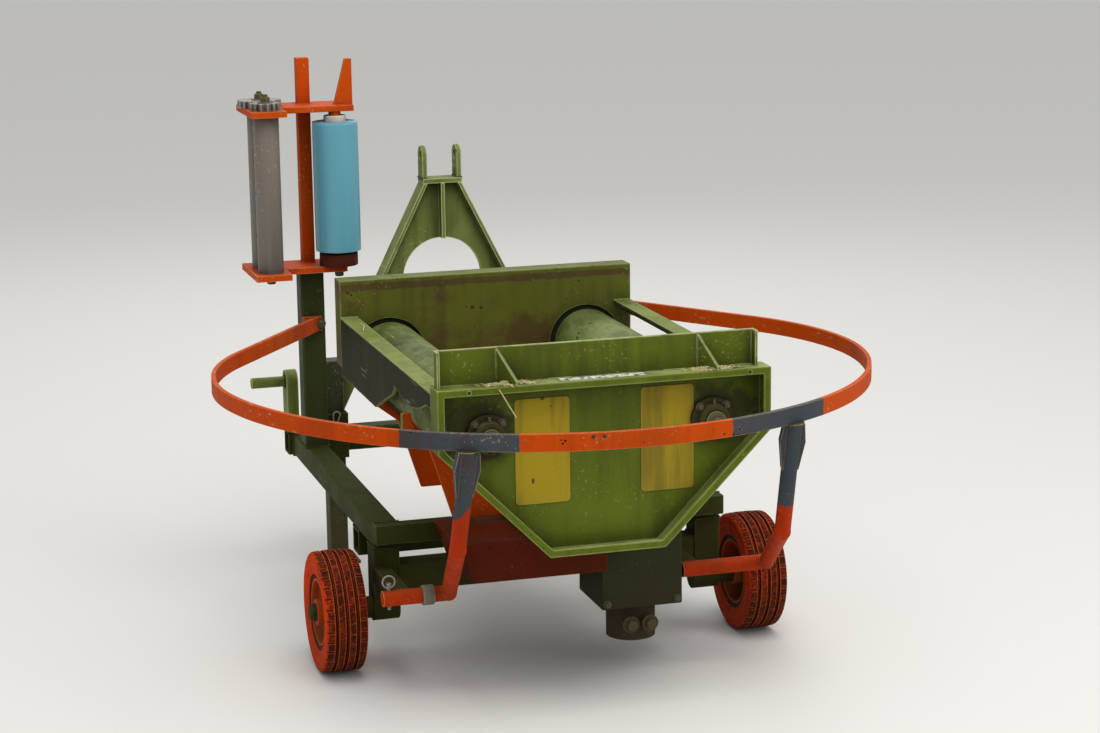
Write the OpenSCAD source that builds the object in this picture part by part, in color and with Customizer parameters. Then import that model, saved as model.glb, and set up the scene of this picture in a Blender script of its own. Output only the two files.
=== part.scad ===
// Linkage-mounted wrapper for mini round bales. A cradle with two rollers turns on a low
// base frame, past a fixed film dispenser and inside a guard hoop. Two small wheels carry
// the front, and two drop legs hold the rear when the wrapper is parked.
// Sizes are in millimetres. The cradle turns about the line x = 0, y = table_y.

/* [Base frame] */
// Distance from the centre line to the inner face of a side rail
rail_x = 284; // [280:1:290]
// Height of the top of the side rails
rail_top = 275; // [272:1:278]
// Side of the square tube
tube = 48; // [44:1:50]
// Wall of the square tube
tube_wall = 4; // [3:0.5:5]
// Corner radius of the square tube
tube_corner = 6; // [5.5:0.5:8]
// Distance from the turning axis to the front of the rear cross beam
rear_beam_y = 700; // [690:1:720]
// Place of the centre cross beam behind the turning axis
centre_beam_y = 100; // [90:1:110]
// Height of the top of the front cross beam
front_beam_top = 194; // [188:1:204]
// Height of the front cross beam's tube
front_beam_h = 53; // [48:1:56]
// Height of the tie bar across the front of the rails
tie_h = 36; // [32:1:36]
// Depth of the tie bar
tie_depth = 24; // [20:1:28]

/* [Wheels] */
// Diameter of a tyre
tyre_d = 222; // [214:1:235]
// Width of a tyre
tyre_w = 76; // [68:1:80]
// Distance from the centre line to the middle of a tyre
wheel_x = 400; // [392:1:410]
// Place of the wheel axle in front of the turning axis
axle_y = 25; // [20:1:35]
// Radius where the tyre sits on its rim
rim_r = 62; // [56:1:66]
// Radius of the stub axle
axle_r = 12.5; // [10:0.5:14]
// Grooves round a tyre
groove_count = 3; // [2:1:4]
// Width of a tyre groove
groove_w = 6; // [4:1:7]
// Depth of a tyre groove
groove_depth = 7; // [4:1:9]

/* [Cradle] */
// Half of the cradle's width
cradle_half = 295; // [285:1:300]
// Distance from the turning axis to the outer face of an end plate
end_y = 365; // [360:1:370]
// Thickness of the end plates
plate_t = 6; // [5:0.5:8]
// Depth of the folded lips round the end plates
lip_depth = 40; // [30:1:42]
// Thickness of the folded lips
lip_t = 5; // [4:0.5:6]
// Width of the edge folded back inward from the front end plate's lips
return_w = 13; // [10:1:18]
// Height of the cradle's bottom edge
cradle_bottom = 285; // [284:1:290]
// Height where the sides begin to slant
cradle_corner = 478; // [465:1:484]
// Height of the front end plate
cradle_top = 588; // [582:1:594]
// Height of the side beams
side_top = 575; // [570:1:578]
// Height of the rear end plate
rear_top = 647; // [630:1:660]
// Half width of the cradle's bottom edge
bottom_half = 103; // [96:1:106]
// Height of the board above the front end plate
board_h = 62; // [55:1:80]

/* [Rollers] */
// Radius of a roller
roller_r = 66; // [60:1:68]
// Distance from the cradle's side in to a roller's axis
roller_inset = 95; // [92:1:99]
// Height of a roller's axis
roller_z = 496; // [494:1:500]
// Radius of a roller's shaft
shaft_r = 17.5; // [12:0.5:20]
// Radius of the recess round a roller's rear end
recess_r = 73; // [70:0.5:74]

/* [Guard hoop] */
// Radius of the front of the guard hoop
hoop_r = 600; // [590:1:610]
// Radius of the sides of the guard hoop
hoop_side_r = 480; // [470:1:490]
// Height of the top of the hoop
hoop_top = 545; // [535:1:550]
// Height of the hoop's flat bar
hoop_h = 30; // [25:1:35]
// Thickness of the hoop's flat bar
hoop_t = 8; // [6:1:10]
// Radius of the guard posts
post_r = 14; // [12:0.5:14]
// Height of the foot of a guard post
foot_z = 178; // [174:1:182]
// Place of the feet in front of the turning axis
foot_y = 200; // [195:1:215]

/* [Hitch] */
// Height of the lower hitch pins
lower_pin_z = 380; // [370:1:390]
// Height of the upper hitch bore above the lower pins
mast_h = 457; // [450:1:465]
// Distance between the shoulders of the lower pins
pin_spread = 683; // [683:1:700]
// Radius of a lower pin
lower_pin_r = 11; // [10.8:0.1:11.2]
// Free length of a lower pin
lower_pin_len = 70; // [60:1:75]
// Radius of the upper hitch bore
upper_bore_r = 9.75; // [9.6:0.05:10.2]
// Distance between the middles of the upper ears
ear_pitch = 73; // [68:1:76]
// Thickness of an ear
ear_t = 10; // [8:1:12]
// Radius of the arch in the mast
arch_r = 84; // [76:1:92]

/* [Film dispenser] */
// Radius of the film roll
film_r = 45; // [42:1:50]
// Height of the film roll
film_h = 256; // [230:1:265]
// Radius of the film's core
core_r = 22; // [20:1:25]
// Distance from the centre line to the roll's axis
roll_x = 260; // [256:1:264]
// Place of the roll behind the turning axis
roll_y = 525; // [520:1:530]
// Height of the dispenser's lower plate
dispenser_z = 640; // [630:1:650]
// Teeth of the larger stretch gear
teeth_a = 20; // [18:1:21]
// Teeth of the smaller stretch gear
teeth_b = 13; // [12:1:14]
// Radius of a stretch roller
stretch_r = 25; // [20:1:27]
// Distance from the centre line to the stretch rollers
stretch_x = 405; // [400:1:410]

/* [Parking legs] */
// Distance from the centre line to a parking leg
stand_x = 250; // [230:1:260]
// Side of a parking leg
stand_w = 38; // [34:1:38]

/* [Hidden] */
$fn = 72;

// Clearances
seat_gap = 0.3;      // between seated faces on different bodies
running_gap = 0.05;  // round a shaft in its bearing
free_gap = 5;        // between pieces that pass each other

// Colours
green = [0.33, 0.43, 0.14];
dark_green = [0.24, 0.32, 0.12];
light_green = [0.42, 0.50, 0.22];
orange = [0.88, 0.30, 0.06];
steel = [0.55, 0.55, 0.55];
black = [0.08, 0.08, 0.08];

// Base frame
rail_bottom = rail_top - tube;
rail_mid_x = rail_x + tube/2;
rail_outer = rail_x + tube;
leg_depth = 50;
leg_front = -axle_y - leg_depth/2;
wheel_z = tyre_d/2;
axle_end = 10;       // free end of the stub axle past the tyre
axle_shoulder_r = 20;
axle_nut_r = 17;
axle_nut_h = 8;
rim_hub_half = tyre_w/2 - 2;
tie_front = leg_front - tie_depth;
pedestal_half = 105;
pedestal_t = 12;
slew_r = 70;
tie_in = slew_r + 12;   // inner end of each half of the tie bar
slew_h = 18;
slew_top = rail_bottom + pedestal_t + slew_h;
spigot_r = 30;

// Cradle
roller_x = cradle_half - roller_inset;
end_inner_y = end_y - plate_t;
slant = atan2(cradle_corner - cradle_bottom, cradle_half - bottom_half);
beam_half = 90;
beam_h = 45;
side_beam_w = 35;
carrier_y = 120;
carrier_t = 8;
housing_r = 38;
housing_t = 24;
housing_flange_t = 10;
housing_step = 10;
chain_case_t = 30;
roller_gap = 7;
roller_end = end_inner_y - roller_gap;

// Guard hoop: the front arc runs on past the sides by hoop_lap, then the side arcs turn
// the bar through hoop_turn, and straight tails run to the rear uprights.
hoop_lap = 10;
hoop_turn = 45;
hoop_bottom = hoop_top - hoop_h;
upright_y = 560;
upright_w = 48;
upright_d = 50;
tail_end = upright_y - hoop_t/2;
side_centre = (hoop_r - hoop_side_r)*[-cos(hoop_lap), -sin(hoop_lap)];
tail_angle = 180 + hoop_lap - hoop_turn;
tail_start = side_centre + hoop_side_r*[cos(tail_angle), sin(tail_angle)];
tail_lean = hoop_turn - hoop_lap;
tail_len = (tail_end - tail_start[1])/cos(tail_lean);
tail_x = tail_start[0] + tail_len*sin(tail_lean);

// Guard posts: columns are the point under the hoop, the knee, the bend and the foot's end
function under_hoop(x) = [x, -sqrt(hoop_r*hoop_r - x*x), hoop_bottom];
foot_ends = [-351, 204];
guard_post_points = [
    [under_hoop(-276), [-274, -440, 324], [-231, -foot_y, foot_z], [foot_ends[0], -foot_y, foot_z]],
    [under_hoop(288), [303, -440, 303], [368, -foot_y, foot_z], [foot_ends[1], -foot_y, foot_z]]
];
// Middles of the arms that hold the feet: left and right
bracket_w = 30;
bracket_half = 13;
bracket_x = [-rail_outer + bracket_w/2, foot_ends[1] + 1 + bracket_w/2];

// Hitch
mast_depth = tube;
mast_y = rear_beam_y + tube/2;
mast_top_z = 780;
mast_top_half = 40;
mast_slope = 0.5;
mast_plate_t = 10;
mast_flange_t = 8;
arch_z = 580;
upper_pin_z = lower_pin_z + mast_h;
ear_r = 20;
shoulder_t = 10;
pin_plate_t = 24;

// Dispenser
plate12 = 12;
roll_bottom = dispenser_z + plate12 + 30;
roll_top = roll_bottom + film_h;
core_top = roll_top + 12;
core_bottom = roll_bottom - 5;
spindle_r = 12;
disc_inset = 7;
post_w = 25;
post_x = -324;
post_y = 570;
post_top = 1060;
top_plate_z = core_top + 8;
plates_back = upright_y + upright_d;
neck_x = -stretch_x + 35;      // where the wide part beside the stretch rollers ends
wing_front = upright_y - 120;  // front edge of the part beside the stretch rollers
shelf_front = upright_y - 50;  // front edge of the part under the film roll
shelf_end = -roll_x + 14;
wing_w = 70;
rib_foot = -262;
rib_end = -224;
rib_top_w = 14;
rib_t = 8;

// Stretch gears, in mesh when the rollers stand as drawn
gear_module = 4;
gear_h = 14;
gear_addendum = 0.8*gear_module;
gear_dedendum = gear_module;
pressure_angle = 20;
backlash = 0.3;
flank_steps = 6;
stretch_shaft_r = 10;
stretch_pitch = gear_module*(teeth_a + teeth_b)/2;
stretch_a = [-stretch_x, 546];
stretch_b = [-stretch_x, stretch_a[1] - stretch_pitch];

// Parking legs
sleeve_wall = 6;
sleeve_gap = 0.3;
sleeve_h = 95;
sleeve_side = stand_w + 2*sleeve_gap + 2*sleeve_wall;
stand_y = rear_beam_y - sleeve_side/2;
foot_plate = 80;
foot_t = 6;
stand_h = 430;
sleeve_z = 225;

// The object spans from the hoop's front to the back of the mast
front_reach = hoop_r + hoop_t/2;
rear_reach = rear_beam_y + tube;
table_y = (front_reach - rear_reach)/2;

// Moves a piece from the turning axis to its place in the part's frame
module from_axis() translate([0, table_y, 0]) children();

// Extrudes an outline drawn in x and z, centred on a plane across y
module across_y(t) rotate([90, 0, 0]) linear_extrude(t, center = true) children();

// Extrudes an outline drawn in y and z, centred on a plane across x
module across_x(t) rotate([90, 0, 90]) linear_extrude(t, center = true) children();

module rounded_rect(w, h, r) {
    square([w - 2*r, h], center = true);
    square([w, h - 2*r], center = true);
    for (sx = [-1, 1], sy = [-1, 1])
        translate([sx*(w/2 - r), sy*(h/2 - r)]) circle(r = r);
}

module tube_section(w = tube, h = tube, wall = tube_wall) difference() {
    rounded_rect(w, h, tube_corner);
    rounded_rect(w - 2*wall, h - 2*wall, tube_corner - wall);
}

// A round bar from p to q, its surface's joint line turned away from the flats of its neighbours
seam_turn = 40;
module rod(p, q, r) {
    d = q - p;
    translate(p)
        rotate([0, acos(d[2]/norm(d)), atan2(d[1], d[0])])
            rotate(seam_turn) cylinder(h = norm(d), r = r);
}

module mirrored() {
    children();
    mirror([1, 0, 0]) children();
}

// Base frame

module side_rails() color(green) from_axis() mirrored()
    translate([rail_mid_x, (leg_front + rear_beam_y)/2, rail_top - tube/2])
        across_y(rear_beam_y - leg_front) tube_section();

module legs() color(green) from_axis() mirrored() {
    translate([rail_mid_x, -axle_y, 0]) across_x(tube) {
        translate([-leg_depth/2, wheel_z]) square([leg_depth, rail_bottom - wheel_z]);
        translate([0, wheel_z]) circle(r = leg_depth/2);
    }
    stub_axle();
}

// The stub axle with its shoulder, and the nut that keeps the wheel on
module stub_axle() translate([rail_outer, -axle_y, wheel_z]) rotate([0, 90, 0]) {
    cylinder(h = wheel_x + tyre_w/2 + axle_end - rail_outer, r = axle_r);
    cylinder(h = wheel_x - rim_hub_half - seat_gap - rail_outer, r = axle_shoulder_r);
    translate([0, 0, wheel_x + rim_hub_half + seat_gap - rail_outer])
        cylinder(h = axle_nut_h, r = axle_nut_r, $fn = 6);
}

// Front beam between the legs, a tie bar in two halves beside the turning bearing, and the
// centre beam under the rails
module cross_beams() color(green) from_axis() {
    translate([0, -axle_y, front_beam_top - front_beam_h/2])
        across_x(2*rail_x) tube_section(leg_depth, front_beam_h);
    mirrored() translate([tie_in, tie_front, rail_top - tie_h])
        cube([rail_outer - tie_in, tie_depth, tie_h]);
    translate([0, centre_beam_y, rail_bottom - tube/2])
        across_x(2*rail_outer) tube_section();
}

module rear_cross_beam() color(green) from_axis()
    translate([0, mast_y, rail_top - tube/2]) across_x(pin_spread) tube_section();

// Plate on the two cross members, with the fixed ring of the turning bearing
module pedestal() color(dark_green) from_axis() difference() {
    union() {
        plate_front = tie_front;
        plate_back = centre_beam_y + tube/2;
        translate([-pedestal_half, plate_front, rail_bottom])
            cube([2*pedestal_half, plate_back - plate_front, pedestal_t]);
        translate([0, 0, rail_bottom]) cylinder(h = pedestal_t + slew_h, r = slew_r);
    }
    translate([0, 0, rail_bottom - 1])
        cylinder(h = pedestal_t + slew_h + 2, r = spigot_r + running_gap);
}

// Fixed cover of the drive in front of the turning bearing
cover_front = -250;
cover_bottom = 204;
cover_top = 278;
cover_left = -200;
cover_right = 48;
cover_flare = 26;
module drive_cover() color(orange) from_axis()
    translate([0, (cover_front + tie_front)/2, 0])
        across_y(tie_front - cover_front)
            polygon([[cover_left, cover_bottom], [cover_right, cover_bottom],
                     [cover_right, cover_top], [cover_left - cover_flare, cover_top]]);

box_right = 200;
box_front = -215;
box_bottom = 120;
module motor_box() color(dark_green) from_axis()
    translate([cover_right, box_front, box_bottom])
        cube([box_right - cover_right, tie_front - box_front, rail_top - box_bottom]);

motor_r = 45;
motor_h = 70;
port_r = 11;
port_x = 18;
port_reach = motor_r + 14;
module slew_motor() color(black) from_axis()
    translate([(cover_right + box_right)/2, (box_front + tie_front)/2, box_bottom - motor_h]) {
        cylinder(h = motor_h, r = motor_r);
        for (side = [-1, 1])
            translate([side*port_x, 0, motor_h/2]) rotate([90, 0, 0]) cylinder(h = port_reach, r = port_r);
    }

// Hitch

// Half width of the mast's outer edge at height z
function mast_half(z) = mast_top_half + (mast_top_z - z)*mast_slope;

module hitch_mast() color(green) from_axis() translate([0, mast_y, 0]) {
    across_y(mast_plate_t) difference() {
        polygon([[-mast_top_half, mast_top_z], [-mast_half(rail_top), rail_top],
                 [mast_half(rail_top), rail_top], [mast_top_half, mast_top_z]]);
        translate([0, arch_z]) circle(r = arch_r);
        leg_in = arch_r + (arch_z - rail_top)*mast_slope;
        polygon([[-arch_r, arch_z], [arch_r, arch_z], [leg_in, rail_top - 1], [-leg_in, rail_top - 1]]);
    }
    mirrored() across_y(mast_depth)
        polygon([[mast_top_half, mast_top_z], [mast_half(rail_top), rail_top],
                 [mast_half(rail_top) - mast_flange_t, rail_top],
                 [mast_top_half - mast_flange_t, mast_top_z]]);
    translate([-mast_flange_t/2, -mast_depth/2, arch_z + arch_r])
        cube([mast_flange_t, mast_depth, mast_top_z - arch_z - arch_r]);
}

module top_link_ears() color(green) from_axis() translate([0, mast_y, 0]) {
    translate([-ear_pitch/2 - ear_t/2, -mast_depth/2, mast_top_z])
        cube([ear_pitch + ear_t, mast_depth, shoulder_t]);
    for (side = [-1, 1]) translate([side*ear_pitch/2, 0, 0]) across_x(ear_t) difference() {
        union() {
            translate([0, upper_pin_z]) circle(r = ear_r);
            translate([-ear_r, mast_top_z + shoulder_t])
                square([2*ear_r, upper_pin_z - mast_top_z - shoulder_t]);
        }
        translate([0, upper_pin_z]) circle(r = upper_bore_r);
    }
}

// Upright plates on the rear beam, each with a lower hitch pin
module hitch_pins() color(green) from_axis() mirrored() {
    plate_x = pin_spread/2 - pin_plate_t;
    translate([plate_x + pin_plate_t/2, mast_y, 0]) across_x(pin_plate_t) {
        translate([-mast_depth/2, rail_top]) square([mast_depth, lower_pin_z - rail_top]);
        translate([0, lower_pin_z]) circle(r = mast_depth/2);
    }
    translate([pin_spread/2, mast_y, lower_pin_z]) rotate([0, 90, 0])
        cylinder(h = lower_pin_len, r = lower_pin_r);
}

// Rear uprights

module upright(top_z) translate([0, 0, rail_top])
    linear_extrude(top_z - rail_top)
        translate([rail_mid_x, upright_y + upright_d/2]) tube_section(upright_w, upright_d);

module dispenser_mast() color(dark_green) from_axis()
    mirror([1, 0, 0]) upright(dispenser_z);

module guard_rear_post() color(dark_green) from_axis() upright(hoop_top + hoop_h/2);

// Guard hoop

// Points of the hoop's right half at a distance d outside its middle line, from the rear
// upright round to the front
side_steps = 30;
front_steps = 54;
function hoop_half(d) = concat(
    [[-tail_x + d*cos(tail_lean), tail_end + d*sin(tail_lean)]],
    [for (i = [0 : side_steps])
        let(a = 180 - tail_angle - hoop_turn*i/side_steps)
        [-side_centre[0], side_centre[1]] + (hoop_side_r + d)*[cos(a), sin(a)]],
    [for (i = [1 : front_steps - 1])
        let(a = -hoop_lap - (90 - hoop_lap)*i/(front_steps - 0.5))
        (hoop_r + d)*[cos(a), sin(a)]]
);
function reversed(list) = [for (i = [len(list) - 1 : -1 : 0]) list[i]];
function hoop_line(d) = concat(hoop_half(d), [for (p = reversed(hoop_half(d))) [-p[0], p[1]]]);

module guard_hoop() color(orange) from_axis() translate([0, 0, hoop_bottom]) {
    linear_extrude(hoop_h)
        polygon(concat(hoop_line(hoop_t/2), reversed(hoop_line(-hoop_t/2))));
    mirrored() translate([-tail_x - hoop_t, upright_y - hoop_t, 0])
        cube([rail_outer + tail_x + hoop_t, hoop_t, hoop_h]);
}

// Posts that carry the hoop: a flared bracket under it, a bent tube and a foot along x
bend_swell = 0.8;
module guard_posts() color(orange) from_axis() for (p = guard_post_points) {
    intersection() {
        union() {
            rod(p[1], 2*p[0] - p[1], post_r);
            flare(p[0], p[1]);
        }
        translate([-hoop_r, -hoop_r, 0]) cube([2*hoop_r, hoop_r, hoop_bottom]);
    }
    rod(p[2], p[1], post_r);
    rod(p[2], p[3], post_r);
    for (i = [1, 2]) translate(p[i]) sphere(r = post_r + bend_swell);
}

// Plate that widens the top of a post, from just above the hoop's lower edge down.
// Columns are the distance down the post and the half width there.
flare_table = [[-20, 18], [0, 18], [35, 22], [92, 14.5]];
module flare(top, knee) {
    d = knee - top;
    translate(top) rotate([0, acos(d[2]/norm(d)), atan2(d[1], d[0])])
        across_x(post_r) polygon(concat([for (row = flare_table) [row[1], row[0]]],
                                        [for (row = reversed(flare_table)) [-row[1], row[0]]]));
}

// Arms from the legs and the front beam forward to the feet, hollowed to fit the round tube
module guard_brackets() color(green) from_axis() for (x = bracket_x)
    translate([x, 0, foot_z]) across_x(bracket_w) difference() {
        translate([-foot_y, -bracket_half]) square([foot_y + leg_front, 2*bracket_half]);
        translate([-foot_y, 0]) circle(r = post_r);
    }

// Film dispenser

// Plan of the dispenser's plates: a wide part beside the stretch rollers and a shelf that runs
// to the right as far as x = right
module dispenser_plate(right) linear_extrude(plate12) {
    translate([neck_x - wing_w, wing_front]) square([wing_w, plates_back - wing_front]);
    translate([neck_x, shelf_front]) square([right - neck_x, plates_back - shelf_front]);
}

module dispenser_base() color(orange) from_axis() {
    translate([0, 0, dispenser_z]) dispenser_plate(shelf_end);
    translate([-roll_x, roll_y, dispenser_z + plate12])
        cylinder(h = top_plate_z - dispenser_z - plate12, r = spindle_r);
}

module dispenser_post() color(orange) from_axis()
    translate([post_x, post_y, dispenser_z + plate12])
        cube([post_w, post_w, post_top - dispenser_z - plate12]);

module dispenser_top() color(orange) from_axis() {
    slot_gap = 0.2;
    difference() {
        translate([0, 0, top_plate_z]) dispenser_plate(rib_end);
        translate([post_x - slot_gap, post_y - slot_gap, top_plate_z - 1])
            cube([post_w + 2*slot_gap, post_w + 2*slot_gap, plate12 + 2]);
        for (s = [stretch_a, stretch_b])
            translate([s[0], s[1], top_plate_z - 1])
                cylinder(h = plate12 + 2, r = stretch_shaft_r + running_gap);
    }
    translate([0, roll_y, 0]) across_y(rib_t)
        polygon([[rib_foot, top_plate_z + plate12], [rib_end, top_plate_z + plate12],
                 [rib_end, post_top], [rib_end - rib_top_w, post_top]]);
}

module film() color([0.33, 0.62, 0.68]) from_axis()
    translate([-roll_x, roll_y, roll_bottom]) difference() {
        cylinder(h = film_h, r = film_r);
        translate([0, 0, -1]) cylinder(h = film_h + 2, r = core_r);
    }

module film_core() color([0.8, 0.78, 0.7]) from_axis()
    translate([-roll_x, roll_y, core_bottom]) difference() {
        cylinder(h = core_top - core_bottom, r = core_r);
        translate([0, 0, -1])
            cylinder(h = core_top - core_bottom + 2, r = spindle_r + running_gap);
    }

module roll_disc() color([0.35, 0.1, 0.06]) from_axis()
    translate([-roll_x, roll_y, dispenser_z + plate12 + seat_gap]) difference() {
        disc_h = core_bottom - dispenser_z - plate12 - seat_gap;
        cylinder(h = disc_h, r = film_r - disc_inset);
        translate([0, 0, -1]) cylinder(h = disc_h + 2, r = spindle_r + running_gap);
    }

// Angle from the foot of an involute on the circle of radius base to its point at radius r
function involute_angle(r, base) = sqrt(pow(r/base, 2) - 1)*180/PI - acos(base/r);
function polar(r, a) = r*[cos(a), sin(a)];

// Outline of a spur gear with involute flanks and a tooth along the direction turn
function gear_outline(teeth, turn) =
    let(pitch_r = gear_module*teeth/2,
        base = pitch_r*cos(pressure_angle),
        tip = pitch_r + gear_addendum,
        root = pitch_r - gear_dedendum,
        foot = max(base, root),
        half = 90/teeth - 45*backlash/(PI*pitch_r) + involute_angle(pitch_r, base),
        flank = [for (i = [0 : flank_steps]) foot + (tip - foot)*i/flank_steps])
    [for (k = [0 : teeth - 1])
        let(middle = turn + 360*k/teeth)
        each concat([polar(root, middle - half)],
                    [for (r = flank) polar(r, middle - half + involute_angle(r, base))],
                    [for (r = reversed(flank)) polar(r, middle + half - involute_angle(r, base))],
                    [polar(root, middle + half)])];

// A stretch roller with its shaft through the top plate and its gear on top
module stretch_roller(place, teeth, turn) {
    low = dispenser_z + plate12 + seat_gap;
    gear_z = top_plate_z + plate12 + seat_gap;
    translate([place[0], place[1], 0]) {
        translate([0, 0, low]) cylinder(h = top_plate_z - seat_gap - low, r = stretch_r);
        translate([0, 0, top_plate_z - 5]) cylinder(h = gear_z - top_plate_z + 5 + 1, r = stretch_shaft_r);
        translate([0, 0, gear_z]) linear_extrude(gear_h) polygon(gear_outline(teeth, turn));
    }
}

module stretch_roller_a() color(steel) from_axis() stretch_roller(stretch_a, teeth_a, -90);

module stretch_roller_b() color(steel) from_axis() stretch_roller(stretch_b, teeth_b, 90 + 180/teeth_b);

// Parking legs

module stand_sleeves() color(green) from_axis() mirrored()
    translate([stand_x, stand_y, sleeve_z]) linear_extrude(sleeve_h) difference() {
        square(sleeve_side, center = true);
        square(stand_w + 2*sleeve_gap, center = true);
    }

module stand() translate([stand_x, stand_y, 0]) {
    translate([-foot_plate/2, -foot_plate/2, 0]) cube([foot_plate, foot_plate, foot_t]);
    translate([-stand_w/2, -stand_w/2, foot_t]) cube([stand_w, stand_w, stand_h - foot_t]);
}

module stand_left() color(steel) from_axis() mirror([1, 0, 0]) stand();

module stand_right() color(steel) from_axis() stand();

// Cradle

module turntable_hub() color(steel) from_axis() {
    translate([0, 0, slew_top + seat_gap])
        cylinder(h = cradle_bottom - slew_top - seat_gap, r = slew_r - free_gap);
    translate([0, 0, rail_bottom]) cylinder(h = slew_top - rail_bottom + 1, r = spigot_r);
}

module bottom_beam() color(green) from_axis()
    translate([0, 0, cradle_bottom + beam_h/2])
        across_y(2*end_inner_y) tube_section(2*beam_half, beam_h, 5);

// Ribs across the bottom beam with an arm out to each side beam, cut out under the rollers.
// Columns of carrier_edge are x and z, from the bottom out to the top of an arm.
carrier_edge = [[200, cradle_bottom + free_gap], [241, 420],
                [cradle_half - plate_t, 457], [cradle_half - plate_t, 490]];
carrier_saddle = 400;
carrier_gap = 8;
module carrier_plates() color(orange) from_axis() for (side = [-1, 1])
    translate([0, side*carrier_y, 0]) across_y(carrier_t) difference() {
        bottom = carrier_edge[0][1];
        top = carrier_edge[3][1];
        polygon(concat(carrier_edge, [[roller_x, top], [roller_x, carrier_saddle],
                                      [-roller_x, carrier_saddle], [-roller_x, top]],
                       [for (p = reversed(carrier_edge)) [-p[0], p[1]]]));
        for (x = [-roller_x, roller_x]) translate([x, roller_z]) circle(r = roller_r + carrier_gap);
        translate([-beam_half, bottom - 1]) square([2*beam_half, cradle_bottom + beam_h - bottom + 1]);
    }

// Outline of an end plate, drawn in by d, as points in x and z
function end_outline(top_z, d = 0) =
    let(side = cradle_half - d,
        corner = cradle_corner + d*(1 - sin(slant))/cos(slant),
        low = bottom_half - d*(1 - cos(slant))/sin(slant))
    [[-side, top_z - d], [-side, corner], [-low, cradle_bottom + d],
     [low, cradle_bottom + d], [side, corner], [side, top_z - d]];

// An end plate with its lips, on the front side of y = 0
module end_plate(top_z, hole_r) {
    translate([0, -end_y + plate_t/2, 0]) across_y(plate_t) difference() {
        polygon(end_outline(top_z));
        for (x = [-roller_x, roller_x]) translate([x, roller_z]) circle(r = hole_r);
    }
    translate([0, -end_y - lip_depth/2, 0]) across_y(lip_depth) difference() {
        polygon(end_outline(top_z));
        polygon(end_outline(top_z, lip_t));
    }
}

// The front plate's lips are folded back inward once more along their front edges
module front_end_plate() color(green) from_axis() {
    end_plate(cradle_top, shaft_r + 2);
    translate([0, -end_y - lip_depth + lip_t/2, 0]) across_y(lip_t) difference() {
        polygon(end_outline(cradle_top, lip_t/2));
        polygon(end_outline(cradle_top, return_w));
    }
}

module rear_end_plate() color(green) from_axis() mirror([0, 1, 0]) end_plate(rear_top, recess_r);

// Side beam: a top flange with a folded edge, and a web whose lower edge bows down near the front
edge_h = 27;
bow_r = 350;
bow_y = -190;
bow_bottom = side_top - 54;
module side_beam() {
    translate([cradle_half - side_beam_w, -end_inner_y, side_top - plate_t])
        cube([side_beam_w, 2*end_inner_y, plate_t]);
    translate([cradle_half - plate_t/2, 0, 0]) across_x(plate_t) {
        translate([-end_inner_y, side_top - edge_h]) square([2*end_inner_y, edge_h]);
        intersection() {
            translate([-end_inner_y, bow_bottom]) square([2*end_inner_y, side_top - edge_h - bow_bottom]);
            translate([bow_y, bow_bottom + bow_r]) circle(r = bow_r, $fn = 360);
        }
    }
}

// The left web goes on down behind the axis. Columns of left_web are y and z.
left_web = [[-110, side_top - edge_h], [-75, 514], [68, 461],
            [end_inner_y, 461], [end_inner_y, side_top - edge_h]];
module side_beam_left() color(light_green) from_axis() {
    mirror([1, 0, 0]) side_beam();
    translate([-cradle_half + plate_t/2, 0, 0]) across_x(plate_t) polygon(left_web);
}

module side_beam_right() color(light_green) from_axis() side_beam();

// Board that raises the front edge, with folded ends and two gussets on the flange
board_t = 5;
board_y = -end_y - 7;
board_left = -cradle_half + 4;
board_right = cradle_half - 20;
board_fold = 18;
gusset_x = [-182, 174];
gusset_t = 6;
gusset_turn = 40;
gusset_reach = (lip_depth - 7 - board_t/2)/cos(gusset_turn);
module front_board() color(green) from_axis() translate([0, board_y - board_t/2, cradle_top]) {
    translate([board_left, 0, 0]) cube([board_right - board_left, board_t, board_h]);
    for (x = [board_left, board_right - board_t])
        translate([x, -board_fold, 0]) cube([board_t, board_fold, board_h]);
    for (x = gusset_x) translate([x, 0, 0]) rotate(gusset_turn) across_x(gusset_t)
        polygon([[1, 0], [1, board_h - 4], [0, board_h - 4], [-gusset_reach, 6], [-gusset_reach, 0]]);
}

module bearing_housings() color(dark_green) from_axis() for (x = [-roller_x, roller_x])
    translate([x, -end_y, roller_z]) rotate([90, 0, 0]) difference() {
        union() {
            cylinder(h = housing_flange_t, r = housing_r);
            cylinder(h = housing_t, r = housing_r - housing_step);
        }
        translate([0, 0, -1]) cylinder(h = housing_t + 2, r = shaft_r + running_gap);
    }

// Cover of the chain that drives both rollers, closing the recesses
case_rim = 6;   // how far the case reaches past the recesses
module chain_case() color(dark_green) from_axis()
    translate([0, end_y + chain_case_t/2, 0]) across_y(chain_case_t) difference() {
        intersection() {
            union() {
                for (x = [-roller_x, roller_x]) translate([x, roller_z]) circle(r = recess_r + case_rim);
                translate([-roller_x, roller_z - recess_r + 2*case_rim])
                    square([2*roller_x, 2*recess_r - 4*case_rim]);
            }
            polygon(end_outline(rear_top, lip_t));
        }
        for (x = [-roller_x, roller_x])
            translate([x, roller_z]) circle(r = shaft_r + running_gap);
    }

// A roller: its drum steps down at the rear, inside the recess of the end plate
roller_step = 8;
shaft_out = 4;
module roller() translate([0, 0, roller_z]) rotate([90, 0, 0]) {
    translate([0, 0, -roller_end])
        cylinder(h = 2*roller_end, r = roller_r);
    translate([0, 0, -end_y + free_gap])
        cylinder(h = end_y - free_gap - roller_end + 1, r = roller_r - roller_step);
    translate([0, 0, -end_y - chain_case_t - shaft_out])
        cylinder(h = 2*end_y + chain_case_t + housing_t + 2*shaft_out, r = shaft_r);
}

module roller_left() color(light_green) from_axis() translate([-roller_x, 0, 0]) roller();

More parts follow.
